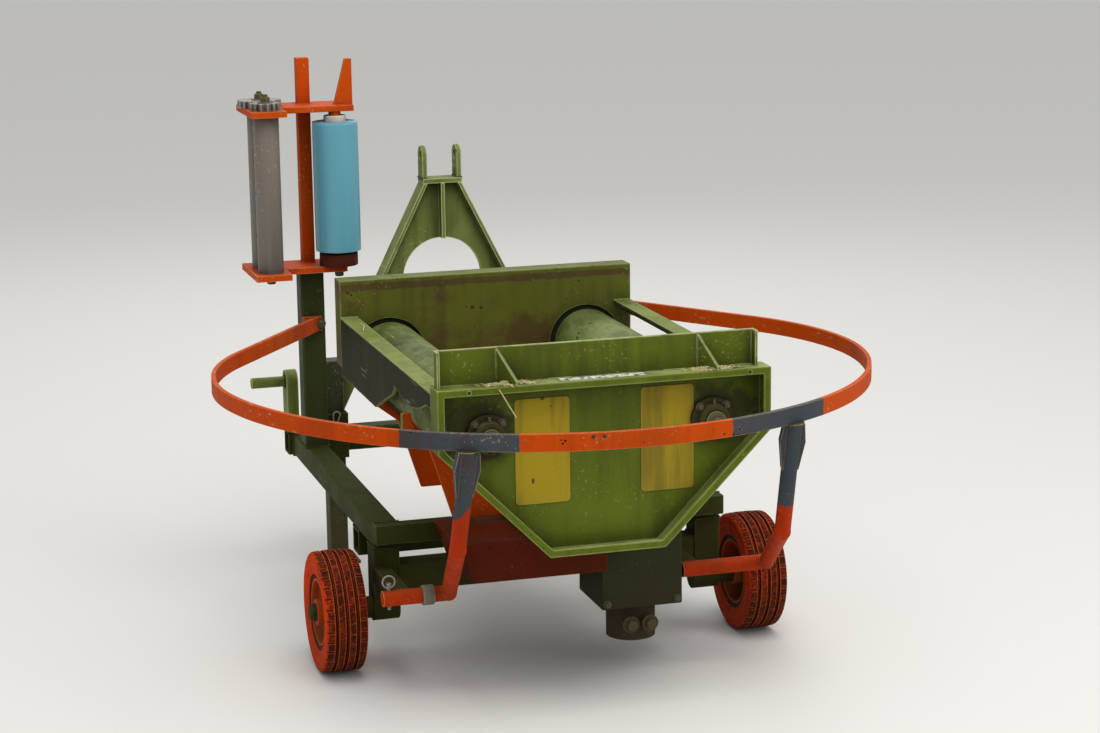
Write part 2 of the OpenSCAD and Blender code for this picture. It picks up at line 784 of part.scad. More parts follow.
module roller_right() color(light_green) from_axis() translate([roller_x, 0, 0]) roller();

// Wheels, drawn about the x axis through the wheel's middle

module wheel_place(side) from_axis()
    translate([side*wheel_x, -axle_y, wheel_z]) rotate([0, side*90, 0]) children();

// Tyre: rounded shoulders and plain grooves round the tread
module tyre() rotate_extrude($fn = 96) difference() {
    shoulder = 16;
    translate([(rim_r + tyre_d/2)/2, 0]) rounded_rect(tyre_d/2 - rim_r, tyre_w, shoulder/2);
    for (i = [0 : groove_count - 1])
        translate([tyre_d/2 - groove_depth,
                   (i - (groove_count - 1)/2)*tyre_w/(groove_count + 1) - groove_w/2])
            square([groove_depth + 1, groove_w]);
}

// Rim: a drum with a dished web and a hub
module rim() rotate_extrude($fn = 96) {
    hub_r = 24;
    wall = 5;
    bore = axle_r + running_gap;
    translate([bore, -rim_hub_half]) square([hub_r - bore, 2*rim_hub_half]);
    translate([rim_r - wall, -tyre_w/2 + 6]) square([wall, tyre_w - 12]);
    polygon([[hub_r, 2], [rim_r - wall, 14], [rim_r - wall, 14 + wall], [hub_r, 2 + wall]]);
}

module tyre_left() color([0.5, 0.2, 0.1]) wheel_place(-1) tyre();

module tyre_right() color([0.5, 0.2, 0.1]) wheel_place(1) tyre();

module rim_left() color(orange) wheel_place(-1) rim();

module rim_right() color(orange) wheel_place(1) rim();

side_rails();
legs();
cross_beams();
rear_cross_beam();
pedestal();
drive_cover();
motor_box();
slew_motor();
hitch_mast();
top_link_ears();
hitch_pins();
dispenser_mast();
guard_rear_post();
guard_hoop();
guard_posts();
guard_brackets();
dispenser_base();
dispenser_post();
dispenser_top();
stand_sleeves();
film();
film_core();
roll_disc();
stretch_roller_a();
stretch_roller_b();
stand_left();
stand_right();
turntable_hub();
bottom_beam();
carrier_plates();
front_end_plate();
rear_end_plate();
side_beam_left();
side_beam_right();
front_board();
bearing_housings();
chain_case();
roller_left();
roller_right();
tyre_left();
tyre_right();
rim_left();
rim_right();
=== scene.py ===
import bpy
import math
import numpy as np
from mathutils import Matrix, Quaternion, Vector


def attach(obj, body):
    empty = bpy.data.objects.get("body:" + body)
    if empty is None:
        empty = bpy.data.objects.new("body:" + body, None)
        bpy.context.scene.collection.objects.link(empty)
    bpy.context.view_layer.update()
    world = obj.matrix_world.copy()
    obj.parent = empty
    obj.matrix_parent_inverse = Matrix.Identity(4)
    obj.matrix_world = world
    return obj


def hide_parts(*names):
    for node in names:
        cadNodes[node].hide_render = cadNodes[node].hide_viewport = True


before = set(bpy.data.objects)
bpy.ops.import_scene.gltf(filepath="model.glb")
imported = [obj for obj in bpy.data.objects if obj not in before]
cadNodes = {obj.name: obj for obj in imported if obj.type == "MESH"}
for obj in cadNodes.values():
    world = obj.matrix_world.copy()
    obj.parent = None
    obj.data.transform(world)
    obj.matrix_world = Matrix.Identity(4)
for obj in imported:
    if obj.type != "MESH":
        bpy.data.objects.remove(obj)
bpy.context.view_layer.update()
scene = bpy.context.scene
scene.view_settings.view_transform = "Standard"
print("frame loaded,", len(cadNodes), "nodes")

tableY = -0.072  # the turning axis stands this far in front of the middle
mm = 0.001
wheelMiddle = np.array([400.0, -25.0, 111.0])  # right wheel, mm from the turning axis


# Small helpers for shader trees. An output's id_data is the tree that it belongs to.

def paint(red, green, blue):
    # A colour as seen on screen, 0 to 255, turned into the linear values that shaders take
    seen = np.array([red, green, blue]) / 255
    linear = np.where(seen <= 0.04045, seen / 12.92, ((seen + 0.055) / 1.055) ** 2.4)
    return (*linear.tolist(), 1.0)


def addNode(tree, kind, links=None, **settings):
    # links maps a socket's name or number to a value, or to another node's output
    node = tree.nodes.new("ShaderNode" + kind)
    for key, value in settings.items():
        setattr(node, key, value)
    for key, value in (links or {}).items():
        if isinstance(value, bpy.types.NodeSocket):
            tree.links.new(value, node.inputs[key])
        else:
            node.inputs[key].default_value = value
    return node


def calc(operation, first, second=None, clamp=False):
    tree = (first if isinstance(first, bpy.types.NodeSocket) else second).id_data
    links = {0: first}
    if second is not None:
        links[1] = second
    return addNode(tree, "Math", links, operation=operation, use_clamp=clamp).outputs[0]


def times(first, second, clamp=False):
    return calc("MULTIPLY", first, second, clamp)


def plus(first, second):
    return calc("ADD", first, second)


def less(first, second, clamp=False):
    return calc("SUBTRACT", first, second, clamp)


def larger(first, second):
    return calc("MAXIMUM", first, second)


def ease(value, low, high, start=0.0, end=1.0):
    # Goes smoothly from start to end while value goes from low to high
    links = {"Value": value, "From Min": low, "From Max": high, "To Min": start, "To Max": end}
    return addNode(value.id_data, "MapRange", links, interpolation_type="SMOOTHSTEP").outputs[0]


def blendColour(amount, first, second):
    links = {0: amount, 6: first, 7: second}
    return addNode(amount.id_data, "Mix", links, data_type="RGBA").outputs[2]


def noise(place, scale, detail=4.0, roughness=0.55):
    links = {"Vector": place, "Scale": scale, "Detail": detail, "Roughness": roughness}
    return addNode(place.id_data, "TexNoise", links).outputs["Fac"]


def stretched(place, scale, turn=(0, 0, 0)):
    links = {"Vector": place, "Scale": scale, "Rotation": turn}
    return addNode(place.id_data, "Mapping", links).outputs[0]


def split(tree):
    place = addNode(tree, "TexCoord").outputs["Object"]
    return place, addNode(tree, "SeparateXYZ", {0: place}).outputs


def sidewaysFacing(tree):
    # 1 where a surface faces along x, 0 where it faces square to it
    facing = addNode(tree, "TexCoord").outputs["Normal"]
    return calc("ABSOLUTE", addNode(tree, "SeparateXYZ", {0: facing}).outputs["X"])


def distance(first, second):
    # The length of the hypotenuse over two sides
    return calc("SQRT", plus(times(first, first), times(second, second)))


def newMaterial(name):
    material = bpy.data.materials.new(name)
    material.use_nodes = True
    return material, material.node_tree, material.node_tree.nodes["Principled BSDF"]


def newGroup(name, inputs, outputs):
    group = bpy.data.node_groups.new(name, "ShaderNodeTree")
    for side, labels in (("INPUT", inputs), ("OUTPUT", outputs)):
        for label in labels:
            group.interface.new_socket(label, in_out=side, socket_type="NodeSocketFloat")
    given = group.nodes.new("NodeGroupInput").outputs
    result = group.nodes.new("NodeGroupOutput").inputs
    return group, given, result


def addGroup(tree, group, look):
    # The group's inputs are called like the keys of the look
    node = addNode(tree, "Group", node_tree=group)
    for socket in node.inputs:
        socket.default_value = look[socket.name]
    return node.outputs


# Rubbed edges: where a rounded copy of the surface would face another way, broken up by noise

def makeEdgeGroup():
    group, given, result = newGroup("rubbedEdges", ["edgeRadius", "edge"], ["Mask"])
    place = addNode(group, "TexCoord").outputs["Object"]
    rounded = addNode(group, "Bevel", {"Radius": given["edgeRadius"]}, samples=6).outputs[0]
    facing = addNode(group, "NewGeometry").outputs["Normal"]
    same = addNode(group, "VectorMath", {0: rounded, 1: facing}, operation="DOT_PRODUCT")
    edge = less(1.0, same.outputs["Value"], clamp=True)
    broken = noise(place, 60.0, 6.0, 0.65)
    patches = noise(place, 7.0, 2.0)
    broken = plus(broken, times(patches, 0.7))
    raised = times(times(edge, given["edge"]), broken)
    group.links.new(ease(raised, 0.25, 0.62), result["Mask"])
    return group


# Weather: cloudy fading, streaks that run down, small chips and thin scratches

# How each run of scratches is turned, and how fine it is
scratchRuns = (((0.3, 0.2, 0.5), 160), ((0.9, -0.6, -0.4), 130), ((-0.5, 1.1, 1.4), 190))


def makeWeatherGroup():
    outputs = ["Fade", "Streaks", "Chips", "Scratches", "Grain"]
    group, given, result = newGroup("weather", ["chipSize", "chips", "scratches"], outputs)
    place = addNode(group, "TexCoord").outputs["Object"]
    cloud = noise(place, 5.0, 5.0, 0.6)
    group.links.new(ease(cloud, 0.32, 0.72), result["Fade"])
    runs = noise(stretched(place, (38, 38, 3.2)), 1.0, 4.0, 0.6)
    patches = noise(place, 3.1, 3.0)
    runs = times(runs, times(patches, 1.9))
    group.links.new(ease(runs, 0.42, 0.72), result["Streaks"])
    cells = addNode(group, "TexVoronoi", {"Vector": place, "Scale": given["chipSize"]})
    size = noise(place, 22.0, 3.0, 0.7)
    reach = times(ease(size, 0.52, 0.78, 0.0, 0.62), given["chips"])
    inside = less(reach, cells.outputs["Distance"])
    group.links.new(ease(inside, -0.03, 0.05), result["Chips"])
    lines = 0.0
    for turn, scale in scratchRuns:
        thin = noise(stretched(place, (scale, scale * 0.04, scale), turn), 1.0, 1.0)
        lines = larger(ease(thin, 0.69, 0.74), lines)
    worn = noise(place, 9.0, 3.0)
    lines = times(lines, ease(worn, 0.45, 0.62))
    group.links.new(times(lines, given["scratches"]), result["Scratches"])
    group.links.new(noise(place, 420.0, 3.0, 0.6), result["Grain"])
    return group


# Settled dirt and painted shade: dust on faces that look up; mud, also painted shade, that thins out
# with height; grime and painted shade in corners

def makeDirtAndShadeGroup():
    inputs = ["mudAndShadeHeight", "mudAndShadeAmount", "dustAmount", "grimeAndShadeAmount", "grimeAndShadeReach"]
    group, given, result = newGroup("settledDirtAndShade", inputs, ["MudAndShade", "Dust", "GrimeAndShade"])
    coords = addNode(group, "TexCoord").outputs
    place = coords["Object"]
    parts = addNode(group, "SeparateXYZ", {0: place}).outputs
    upward = addNode(group, "SeparateXYZ", {0: coords["Normal"]}).outputs["Z"]
    rough = noise(place, 34.0, 6.0, 0.7)
    patches = noise(place, 6.5, 4.0, 0.6)
    # Mud from the bottom up: real mud, and painted shade that darkens the low parts
    height = calc("DIVIDE", parts["Z"], given["mudAndShadeHeight"])
    spread = less(plus(rough, patches), height)
    mudAndShade = times(ease(spread, 0.05, 0.75), given["mudAndShadeAmount"])
    group.links.new(mudAndShade, result["MudAndShade"])
    lying = times(ease(upward, 0.35, 0.95), ease(patches, 0.3, 0.68))
    lying = times(lying, plus(rough, 0.35))
    group.links.new(times(lying, given["dustAmount"], clamp=True), result["Dust"])
    # Grime where the surface is shut in, from ambient occlusion: partly real grime, partly painted
    # shade in corners and recesses
    links = {"Distance": given["grimeAndShadeReach"]}
    openness = addNode(group, "AmbientOcclusion", links, samples=6).outputs["AO"]
    shut = times(less(1.0, openness), 1.5)
    shut = times(shut, plus(rough, 0.25))
    group.links.new(times(shut, given["grimeAndShadeAmount"], clamp=True), result["GrimeAndShade"])
    return group


edgeGroup = makeEdgeGroup()
weatherGroup = makeWeatherGroup()
dirtAndShadeGroup = makeDirtAndShadeGroup()
print("shader groups made")


# Painted steel: paint, its fading and stains, wear down to primer and rust, dirt on top

paintDefaults = {
    # The mud and grime colours are darkened to stand in for shade as well: painted shade low down and
    # in corners
    "base": (82, 94, 10), "faded": (96, 108, 22), "stain": (46, 42, 12),
    "worn": (150, 162, 92), "rust": (66, 40, 20), "mudAndShade": (74, 62, 38),
    "dust": (138, 146, 92), "grimeAndShade": (24, 22, 10),
    "fade": 0.75, "streaks": 0.4, "chips": 0.4, "chipSize": 90.0, "scratches": 0.4,
    "edge": 9.0, "edgeRadius": 0.004, "rusting": 0.45, "roughness": 0.58, "specular": 0.18,
    "mudAndShadeHeight": 0.2, "mudAndShadeAmount": 0.5, "dustAmount": 0.4, "grimeAndShadeAmount": 0.8, "grimeAndShadeReach": 0.04,
    "bump": 0.25, "bumpHeight": 0.0012, "grain": 0.35, "mudLift": 1.6,
    "fadedRoughness": 0.14, "dullest": 0.88,
    "pattern": None,  # a function that gives base and faded as they change over the surface
}


def paintedSteel(name, look):
    look = {key: paint(*value) if isinstance(value, tuple) else value
            for key, value in {**paintDefaults, **look}.items()}
    material, tree, shader = newMaterial(name)
    shader.inputs["Specular IOR Level"].default_value = look["specular"]
    weather, edges, dirtAndShade = (
        addGroup(tree, group, look) for group in (weatherGroup, edgeGroup, dirtAndShadeGroup))
    base, faded = look["base"], look["faded"]
    if look["pattern"]:
        base, faded = look["pattern"](tree)
    fade = times(weather["Fade"], look["fade"])
    colour = blendColour(fade, base, faded)
    streaks = times(weather["Streaks"], look["streaks"])
    colour = blendColour(streaks, colour, look["stain"])
    rubbed = larger(edges["Mask"], weather["Scratches"])
    colour = blendColour(rubbed, colour, look["worn"])
    place = addNode(tree, "TexCoord").outputs["Object"]
    deep = ease(noise(place, 26.0, 5.0, 0.7), 0.5, 0.66)
    rusty = times(times(deep, edges["Mask"]), look["rusting"])
    rusty = larger(rusty, weather["Chips"])
    colour = blendColour(rusty, colour, look["rust"])
    dull = rusty
    # Grime and mud darken the colour as real dirt and also as painted shade, in corners and low down
    for layer, shade in (("GrimeAndShade", "grimeAndShade"), ("Dust", "dust"), ("MudAndShade", "mudAndShade")):
        colour = blendColour(dirtAndShade[layer], colour, look[shade])
        dull = larger(dull, dirtAndShade[layer])
    tree.links.new(colour, shader.inputs["Base Color"])
    smooth = plus(look["roughness"], times(fade, look["fadedRoughness"]))
    links = {"Value": dull, "To Min": smooth, "To Max": look["dullest"]}
    roughness = addNode(tree, "MapRange", links).outputs[0]
    tree.links.new(roughness, shader.inputs["Roughness"])
    lost = larger(rubbed, rusty)
    height = less(times(weather["Grain"], look["grain"]), lost)
    height = plus(height, times(dirtAndShade["MudAndShade"], look["mudLift"]))
    links = {"Height": height, "Strength": look["bump"], "Distance": look["bumpHeight"]}
    tree.links.new(addNode(tree, "Bump", links).outputs[0], shader.inputs["Normal"])
    return material


# Colours that a pattern mixes, each fresh and faded

shades = {
    "orange": ((190, 66, 0), (190, 80, 10)), "postOrange": ((174, 46, 0), (170, 56, 6)),
    "grey": ((60, 66, 71), (76, 83, 88)), "green": ((82, 94, 10), (98, 110, 24)),
    "lipShadow": ((34, 33, 14), (52, 46, 22)), "rear": ((80, 86, 18), (92, 94, 26)),
    "rearBrown": ((70, 52, 24), (86, 70, 36)), "beam": ((92, 104, 38), (114, 124, 62)),
    "web": ((24, 27, 6), (34, 37, 12)), "roller": ((68, 80, 28), (84, 96, 44)),
    "rollerPale": ((106, 117, 64), (120, 130, 78)), "rubber": ((52, 23, 13), (58, 26, 15)),
    "overspray": ((196, 52, 2), (170, 50, 8)), "strip": ((240, 240, 232), (226, 225, 214)),
    "bared": ((62, 68, 34), (78, 84, 48)),
}


def twoTone(amount, first, second):
    pairs = zip(shades[first], shades[second])
    return [blendColour(amount, paint(*one), paint(*other)) for one, other in pairs]


# Bands on the hoop: blue-grey where its angle about the turning axis lies beside a post

hoopLook = {
    "leftBand": (-38.6, -19.5), "rightBand": (15.2, 36.3), "ragged": 0.012,  # bands in degrees
    "postGreyLeft": 0.401, "postGreyRight": 0.358,  # heights where the posts turn grey
    "leftPost": 0.274, "greySlope": 1.07,  # the edge on the left post runs down to the left
}


def bandedHoop(tree):
    place, parts = split(tree)
    ahead = less(tableY, parts["Y"])
    angle = calc("ARCTAN2", parts["X"], ahead)
    ragged = times(less(noise(place, 70.0), 0.5), hoopLook["ragged"])
    angle = plus(angle, ragged)
    inBand = 0.0
    for low, high in (hoopLook["leftBand"], hoopLook["rightBand"]):
        above = calc("GREATER_THAN", angle, math.radians(low))
        below = calc("LESS_THAN", angle, math.radians(high))
        inBand = larger(times(above, below), inBand)
    return twoTone(inBand, "orange", "grey")


def bandedPosts(tree):
    place, parts = split(tree)
    ragged = times(less(noise(place, 60.0), 0.5), hoopLook["ragged"])
    rightSide = calc("GREATER_THAN", parts["X"], 0.0)
    links = {"Value": rightSide, "To Min": hoopLook["postGreyLeft"],
             "To Max": hoopLook["postGreyRight"]}
    limit = addNode(tree, "MapRange", links).outputs[0]
    fromPost = times(plus(parts["X"], hoopLook["leftPost"]), hoopLook["greySlope"])
    leftSide = less(1.0, rightSide)
    limit = plus(limit, times(fromPost, leftSide))
    grey = calc("GREATER_THAN", plus(parts["Z"], ragged), limit)
    return twoTone(grey, "postOrange", "grey")


# Patterns of the cradle, the tyres and the strip

# Place and size of the painted shadow round each bearing, in metres
lipShadowSpot = {"x": 0.218, "z": 0.505, "halfWidth": 0.075, "halfHeight": 0.06, "ragged": 1.6}


def shadowedPlate(tree):
    # A dark oval round each bearing, painted shadow under the top lip, with a ragged edge
    place, parts = split(tree)
    aside = less(calc("ABSOLUTE", parts["X"]), lipShadowSpot["x"])
    aside = calc("DIVIDE", aside, lipShadowSpot["halfWidth"])
    above = calc("DIVIDE", less(parts["Z"], lipShadowSpot["z"]), lipShadowSpot["halfHeight"])
    rough = less(noise(place, 28.0, 6.0, 0.7), 0.5)
    reach = plus(distance(aside, above), times(rough, lipShadowSpot["ragged"]))
    return twoTone(ease(reach, 1.25, 0.6, 0.0, 0.85), "green", "lipShadow")


rearStainAndShade = {"foot": (0.6, 0.5), "footAmount": 0.16, "lipShadeLow": (0.622, 0.63),
             "lipShadeHigh": (0.642, 0.636), "lipShadeAmount": 0.2}


def stainedShadedRear(tree):
    # Brown mottling, thicker towards the rollers, and a darker band under the top lip as painted shade
    place, parts = split(tree)
    mottled = noise(place, 24.0, 8.0, 0.75)
    clouds = noise(place, 7.0, 4.0, 0.6)
    foot = ease(parts["Z"], *rearStainAndShade["foot"], 0.0, rearStainAndShade["footAmount"])
    lipShade = times(ease(parts["Z"], *rearStainAndShade["lipShadeLow"]), ease(parts["Z"], *rearStainAndShade["lipShadeHigh"]))
    level = plus(foot, times(lipShade, rearStainAndShade["lipShadeAmount"]))
    total = plus(times(plus(mottled, clouds), 0.5), level)
    return twoTone(ease(total, 0.52, 0.68, 0.0, 0.9), "rear", "rearBrown")


def shadedWeb(tree):
    # The upright faces of a side beam are darkened as painted shade; its flange keeps the paler beam
    # paint
    return twoTone(ease(sidewaysFacing(tree), 0.5, 0.8), "beam", "web")


def rubbedRoller(tree):
    place, _ = split(tree)
    patches = noise(stretched(place, (16, 7, 16)), 1.0, 7.0, 0.72)
    return twoTone(ease(patches, 0.42, 0.6), "roller", "rollerPale")


# Where the tread's paint is gone: below this radius, and this near the tyre's middle
sunkTread = {"radius": (0.109, 0.107), "fromMiddle": (0.0345, 0.0335)}


def oversprayedTyre(tree):
    # Orange paint lies whole on the sides, in rubbed specks on the tread, not in its grooves
    place, parts = split(tree)
    specks = plus(noise(place, 190.0, 4.0, 0.6), noise(place, 26.0, 5.0, 0.65))
    level = plus(specks, ease(sidewaysFacing(tree), 0.45, 0.85, 0.0, 0.6))
    axle = (wheelMiddle * mm + [0, tableY, 0]).tolist()
    back = less(parts["Y"], axle[1])
    above = less(parts["Z"], axle[2])
    fromMiddle = less(calc("ABSOLUTE", parts["X"]), axle[0])
    sunk = times(ease(distance(back, above), *sunkTread["radius"]),
                 ease(calc("ABSOLUTE", fromMiddle), *sunkTread["fromMiddle"]))
    return twoTone(ease(less(level, sunk), 0.9, 1.5), "rubber", "overspray")


def tornStrip(tree):
    # Rubbed through to the paint in ragged patches
    place, _ = split(tree)
    return twoTone(ease(noise(place, 85.0, 8.0, 0.75), 0.5, 0.56), "strip", "bared")


# Looks by finish: only what differs from paintDefaults

orangeWear = {
    "base": shades["orange"][0], "faded": shades["orange"][1], "stain": (84, 34, 12),
    "worn": (190, 160, 122), "rust": (44, 24, 14), "dust": (150, 104, 66),
    "fade": 0.5, "streaks": 0.25, "chips": 0.55, "chipSize": 120.0, "edge": 5.0,
    "edgeRadius": 0.0025, "grimeAndShadeAmount": 0.6, "dustAmount": 0.15, "specular": 0.08,
}
cradleWear = {"edgeRadius": 0.005, "dust": (156, 166, 104), "dustAmount": 0.9}
finishLooks = {
    "cradlePaint": cradleWear,
    "endPlatePaint": {**cradleWear, "streaks": 0.3, "scratches": 0.28, "pattern": shadowedPlate},
    "beamPaint": {
        "worn": (156, 163, 108), "dust": (138, 146, 90), "dustAmount": 0.6,
        "chips": 1.0, "chipSize": 60.0, "streaks": 0.5, "edge": 12.0, "specular": 0.08,
        "pattern": shadedWeb},
    "rearPlatePaint": {
        "stain": (52, 40, 16), "worn": (144, 147, 98), "dust": (116, 124, 78),
        "streaks": 0.35, "dustAmount": 0.85, "edge": 12.0, "chips": 0.9, "pattern": stainedShadedRear},
    # The frame's green is darker than the cradle's: the same paint with painted shade, as the frame
    # lies low under the machine
    "frameGreenShaded": {
        "base": (49, 58, 14), "faded": (58, 65, 21), "worn": (104, 108, 58),
        "mudAndShade": (50, 44, 20), "dust": (72, 74, 38), "mudAndShadeHeight": 0.42, "mudAndShadeAmount": 0.65,
        "dustAmount": 0.5, "specular": 0.1},
    "mastPaint": {
        "base": (102, 114, 48), "faded": (124, 134, 74), "worn": (192, 196, 140),
        "streaks": 0.5, "edge": 12.0},
    "boardPaint": {
        "worn": (188, 192, 138), "edge": 16.0, "rusting": 0.8, "dustAmount": 0.6,
        "dust": (156, 166, 104)},
    "darkGreenPaint": {
        "base": (46, 56, 20), "faded": (56, 64, 28), "worn": (104, 108, 66),
        "streaks": 0.5},
    "motorPaint": {
        "base": (36, 44, 16), "faded": (46, 52, 24), "worn": (84, 88, 56),
        "mudAndShade": (52, 46, 28), "mudAndShadeHeight": 0.32, "mudAndShadeAmount": 0.7, "grimeAndShadeAmount": 0.9},
    "housingPaint": {
        "base": (56, 46, 22), "faded": (64, 60, 26), "rust": (60, 32, 16),
        "worn": (112, 104, 70), "chips": 1.1, "chipSize": 140.0, "rusting": 0.8,
        "edgeRadius": 0.002},
    "rollerPaint": {
        "worn": (134, 142, 90), "scratches": 0.9, "edge": 6.0, "rust": (44, 34, 18),
        "dust": (122, 128, 84), "dustAmount": 0.3, "chips": 1.3, "chipSize": 110.0,
        "pattern": rubbedRoller},
    "orangePaint": orangeWear,
    "hoopPaint": {**orangeWear, "edge": 9.0, "pattern": bandedHoop},
    "postPaint": {
        **orangeWear, "mudAndShadeHeight": 0.25, "mudAndShadeAmount": 0.12, "scratches": 0.2,
        "pattern": bandedPosts},
    # The cover's orange is far darker than the hoop's: dirt and painted shade
    "coverOrangeShaded": {
        **orangeWear, "base": (96, 25, 3), "faded": (88, 30, 8), "worn": (140, 92, 58),
        "mudAndShade": (58, 32, 16), "mudAndShadeHeight": 0.4, "grimeAndShadeAmount": 0.9},
    "discPaint": {**orangeWear, "base": (74, 30, 18), "faded": (84, 44, 28)},
    "bareSteel": {
        "base": (104, 102, 98), "faded": (116, 100, 82), "worn": (172, 170, 164),
        "rust": (86, 50, 28), "dust": (118, 108, 92), "streaks": 0.2, "chips": 0.7,
        "roughness": 0.42, "specular": 0.5},
    "standPaint": {
        "base": (58, 64, 34), "faded": (84, 82, 60), "worn": (140, 138, 124),
        "rust": (76, 46, 26), "dust": (100, 96, 72), "scratches": 1.0, "streaks": 0.7,
        "chips": 1.1},
    "blackCasting": {
        "base": (24, 25, 22), "faded": (40, 40, 34), "worn": (100, 98, 88),
        "mudAndShadeAmount": 0.6},
    "tyreRubber": {
        "worn": (222, 92, 34), "stain": (30, 18, 12), "rust": (22, 18, 14),
        "dust": (110, 70, 46), "mudAndShade": (64, 46, 30), "mudAndShadeHeight": 0.14, "mudAndShadeAmount": 0.3,
        "fade": 0.4, "edge": 8.0, "edgeRadius": 0.003, "rusting": 0.2, "chips": 0.5,
        "chipSize": 160.0, "scratches": 0.5, "dustAmount": 0.1, "grimeAndShadeAmount": 0.7, "specular": 0.08,
        "grimeAndShadeReach": 0.012, "roughness": 0.8, "pattern": oversprayedTyre},
    "boltSteel": {
        "base": (78, 74, 54), "faded": (94, 82, 60), "worn": (150, 146, 132),
        "rust": (74, 42, 22), "chips": 0.8, "chipSize": 260.0, "edgeRadius": 0.0012},
    "yellowPlate": {
        "base": (160, 137, 19), "faded": (150, 133, 38), "stain": (82, 76, 28),
        "worn": (128, 126, 66), "rust": (74, 72, 28), "streaks": 0.55, "chips": 0.9,
        "chipSize": 70.0, "grimeAndShadeAmount": 0.5, "edgeRadius": 0.002},
    "paleStripPaint": {
        "stain": (120, 120, 92), "worn": (92, 96, 62), "rust": (50, 52, 26),
        "chipSize": 150.0, "streaks": 0.2, "dustAmount": 0.1, "scratches": 1.0,
        "grimeAndShadeAmount": 0.3, "pattern": tornStrip},
    "filmWrap": {
        "base": (88, 154, 170), "faded": (92, 158, 174), "worn": (150, 198, 206),
        "stain": (84, 150, 166), "rust": (84, 146, 160), "dust": (110, 160, 170),
        "chips": 0.0, "scratches": 0.0, "roughness": 0.28, "specular": 0.5, "mudAndShadeAmount": 0.0,
        "dustAmount": 0.1, "grimeAndShadeAmount": 0.25, "edge": 3.0, "bump": 0.08},
    "strawColour": {
        "base": (176, 158, 96), "faded": (196, 182, 124), "stain": (120, 100, 54),
        "worn": (210, 200, 150), "rust": (130, 108, 60), "roughness": 0.7,
        "dust": (190, 176, 124), "mudAndShadeAmount": 0.0, "grimeAndShadeAmount": 0.2},
    "cardboard": {
        "base": (196, 190, 176), "faded": (206, 202, 190), "worn": (220, 216, 206),
        "stain": (150, 136, 110), "rust": (140, 126, 100), "roughness": 0.85,
        "mudAndShadeAmount": 0.0},
}
materials = {name: paintedSteel(name, look) for name, look in finishLooks.items()}
finishes = {
    "frameGreenShaded": ["side_rails", "legs", "cross_beams", "rear_cross_beam", "pedestal",
                   "guard_brackets", "stand_sleeves"],
    "mastPaint": ["hitch_mast", "top_link_ears", "hitch_pins"],
    "darkGreenPaint": ["dispenser_mast", "guard_rear_post"],
    "orangePaint": ["dispenser_base", "dispenser_post", "dispenser_top", "carrier_plates",
                    "rim_left", "rim_right"],
    "hoopPaint": ["guard_hoop"],
    "postPaint": ["guard_posts"],
    "coverOrangeShaded": ["drive_cover"],
    "motorPaint": ["motor_box", "chain_case"],
    "housingPaint": ["bearing_housings"],
    "blackCasting": ["slew_motor"],
    "filmWrap": ["film"],
    "cardboard": ["film_core"],
    "discPaint": ["roll_disc"],
    "bareSteel": ["stretch_roller_a", "stretch_roller_b", "turntable_hub"],
    "standPaint": ["stand_left", "stand_right"],
    "cradlePaint": ["bottom_beam"],
    "boardPaint": ["front_board"],
    "endPlatePaint": ["front_end_plate"],
    "beamPaint": ["side_beam_left", "side_beam_right"],
    "rearPlatePaint": ["rear_end_plate"],
    "rollerPaint": ["roller_left", "roller_right"],
    "tyreRubber": ["tyre_left", "tyre_right"],
}
for finish, names in finishes.items():
    for name in names:
        slots = cadNodes[name].data.materials
        slots.clear()
        slots.append(materials[finish])
print("finishes on", sum(len(names) for names in finishes.values()), "nodes")


# Surfaces worked out as whole arrays, in millimetres about the turning axis. A shape is a pair:
# an array of points, and a list of arrays of faces with as many corners as columns.

def floats(values):
    return np.asarray(values, dtype=float)


def toFrame(points):
    return floats(points) * mm + np.array([0.0, tableY, 0.0])


def axesAlong(directions):
    # Two unit vectors square to each direction, so that side x rise = along
    along = np.atleast_2d(floats(directions))
    along = along / np.linalg.norm(along, axis=1, keepdims=True)
    side = np.cross(np.array([0.31, 0.52, 0.79]), along)
    side = side / np.linalg.norm(side, axis=1, keepdims=True)
    return side, np.cross(along, side), along


def ringFaces(rings, around, looped=False):
    # Quads between rings of points that each close on themselves
    first = np.arange(rings if looped else rings - 1)[:, None]
    second = (first + 1) % rings
    here = np.arange(around)[None, :]
    after = (here + 1) % around
    corners = (first * around + here, first * around + after,
               second * around + after, second * around + here)
    return np.stack(np.broadcast_arrays(*corners), -1).reshape(-1, 4)


def endFaces(rings, around):
    low = np.arange(around)[::-1][None]
    high = (np.arange(around) + (rings - 1) * around)[None]
    return [low, high]


def roundAxis(radius, angles, height):
    # Points at these radii, angles and heights about the z axis
    across = [radius * np.cos(angles), radius * np.sin(angles), height]
    return np.stack(np.broadcast_arrays(*across), -1).reshape(-1, 3)


def spun(profile, steps, looped=False):
    # Rows of radius and height turned about the z axis, upwards on the outside
    table = floats(profile)
    points = roundAxis(table[:, :1], np.arange(steps) * 2 * np.pi / steps, table[:, 1:2])
    cells = [ringFaces(len(table), steps, looped)]
    return points, cells if looped else cells + endFaces(len(table), steps)


def copied(shape, places, directions):
    # The shape at each place, its own z axis along the direction there
    points, cells = shape
    places = np.atleast_2d(floats(places))
    directions = np.broadcast_to(np.atleast_2d(floats(directions)), places.shape)
    side, rise, along = axesAlong(directions)
    x, y, z = (points[None, :, k, None] for k in range(3))
    spots = places[:, None] + x * side[:, None] + y * rise[:, None] + z * along[:, None]
    starts = (np.arange(len(places)) * len(points))[:, None, None]
    return spots.reshape(-1, 3), [(cell[None] + starts).reshape(-1, cell.shape[1]) for cell in cells]


def together(shapes):
    points, cells, start = [], [], 0
    for spots, faces in shapes:
        points.append(spots)
        cells += [cell + start for cell in faces]
        start += len(spots)
    return np.concatenate(points), cells


rippleLength = 4.5


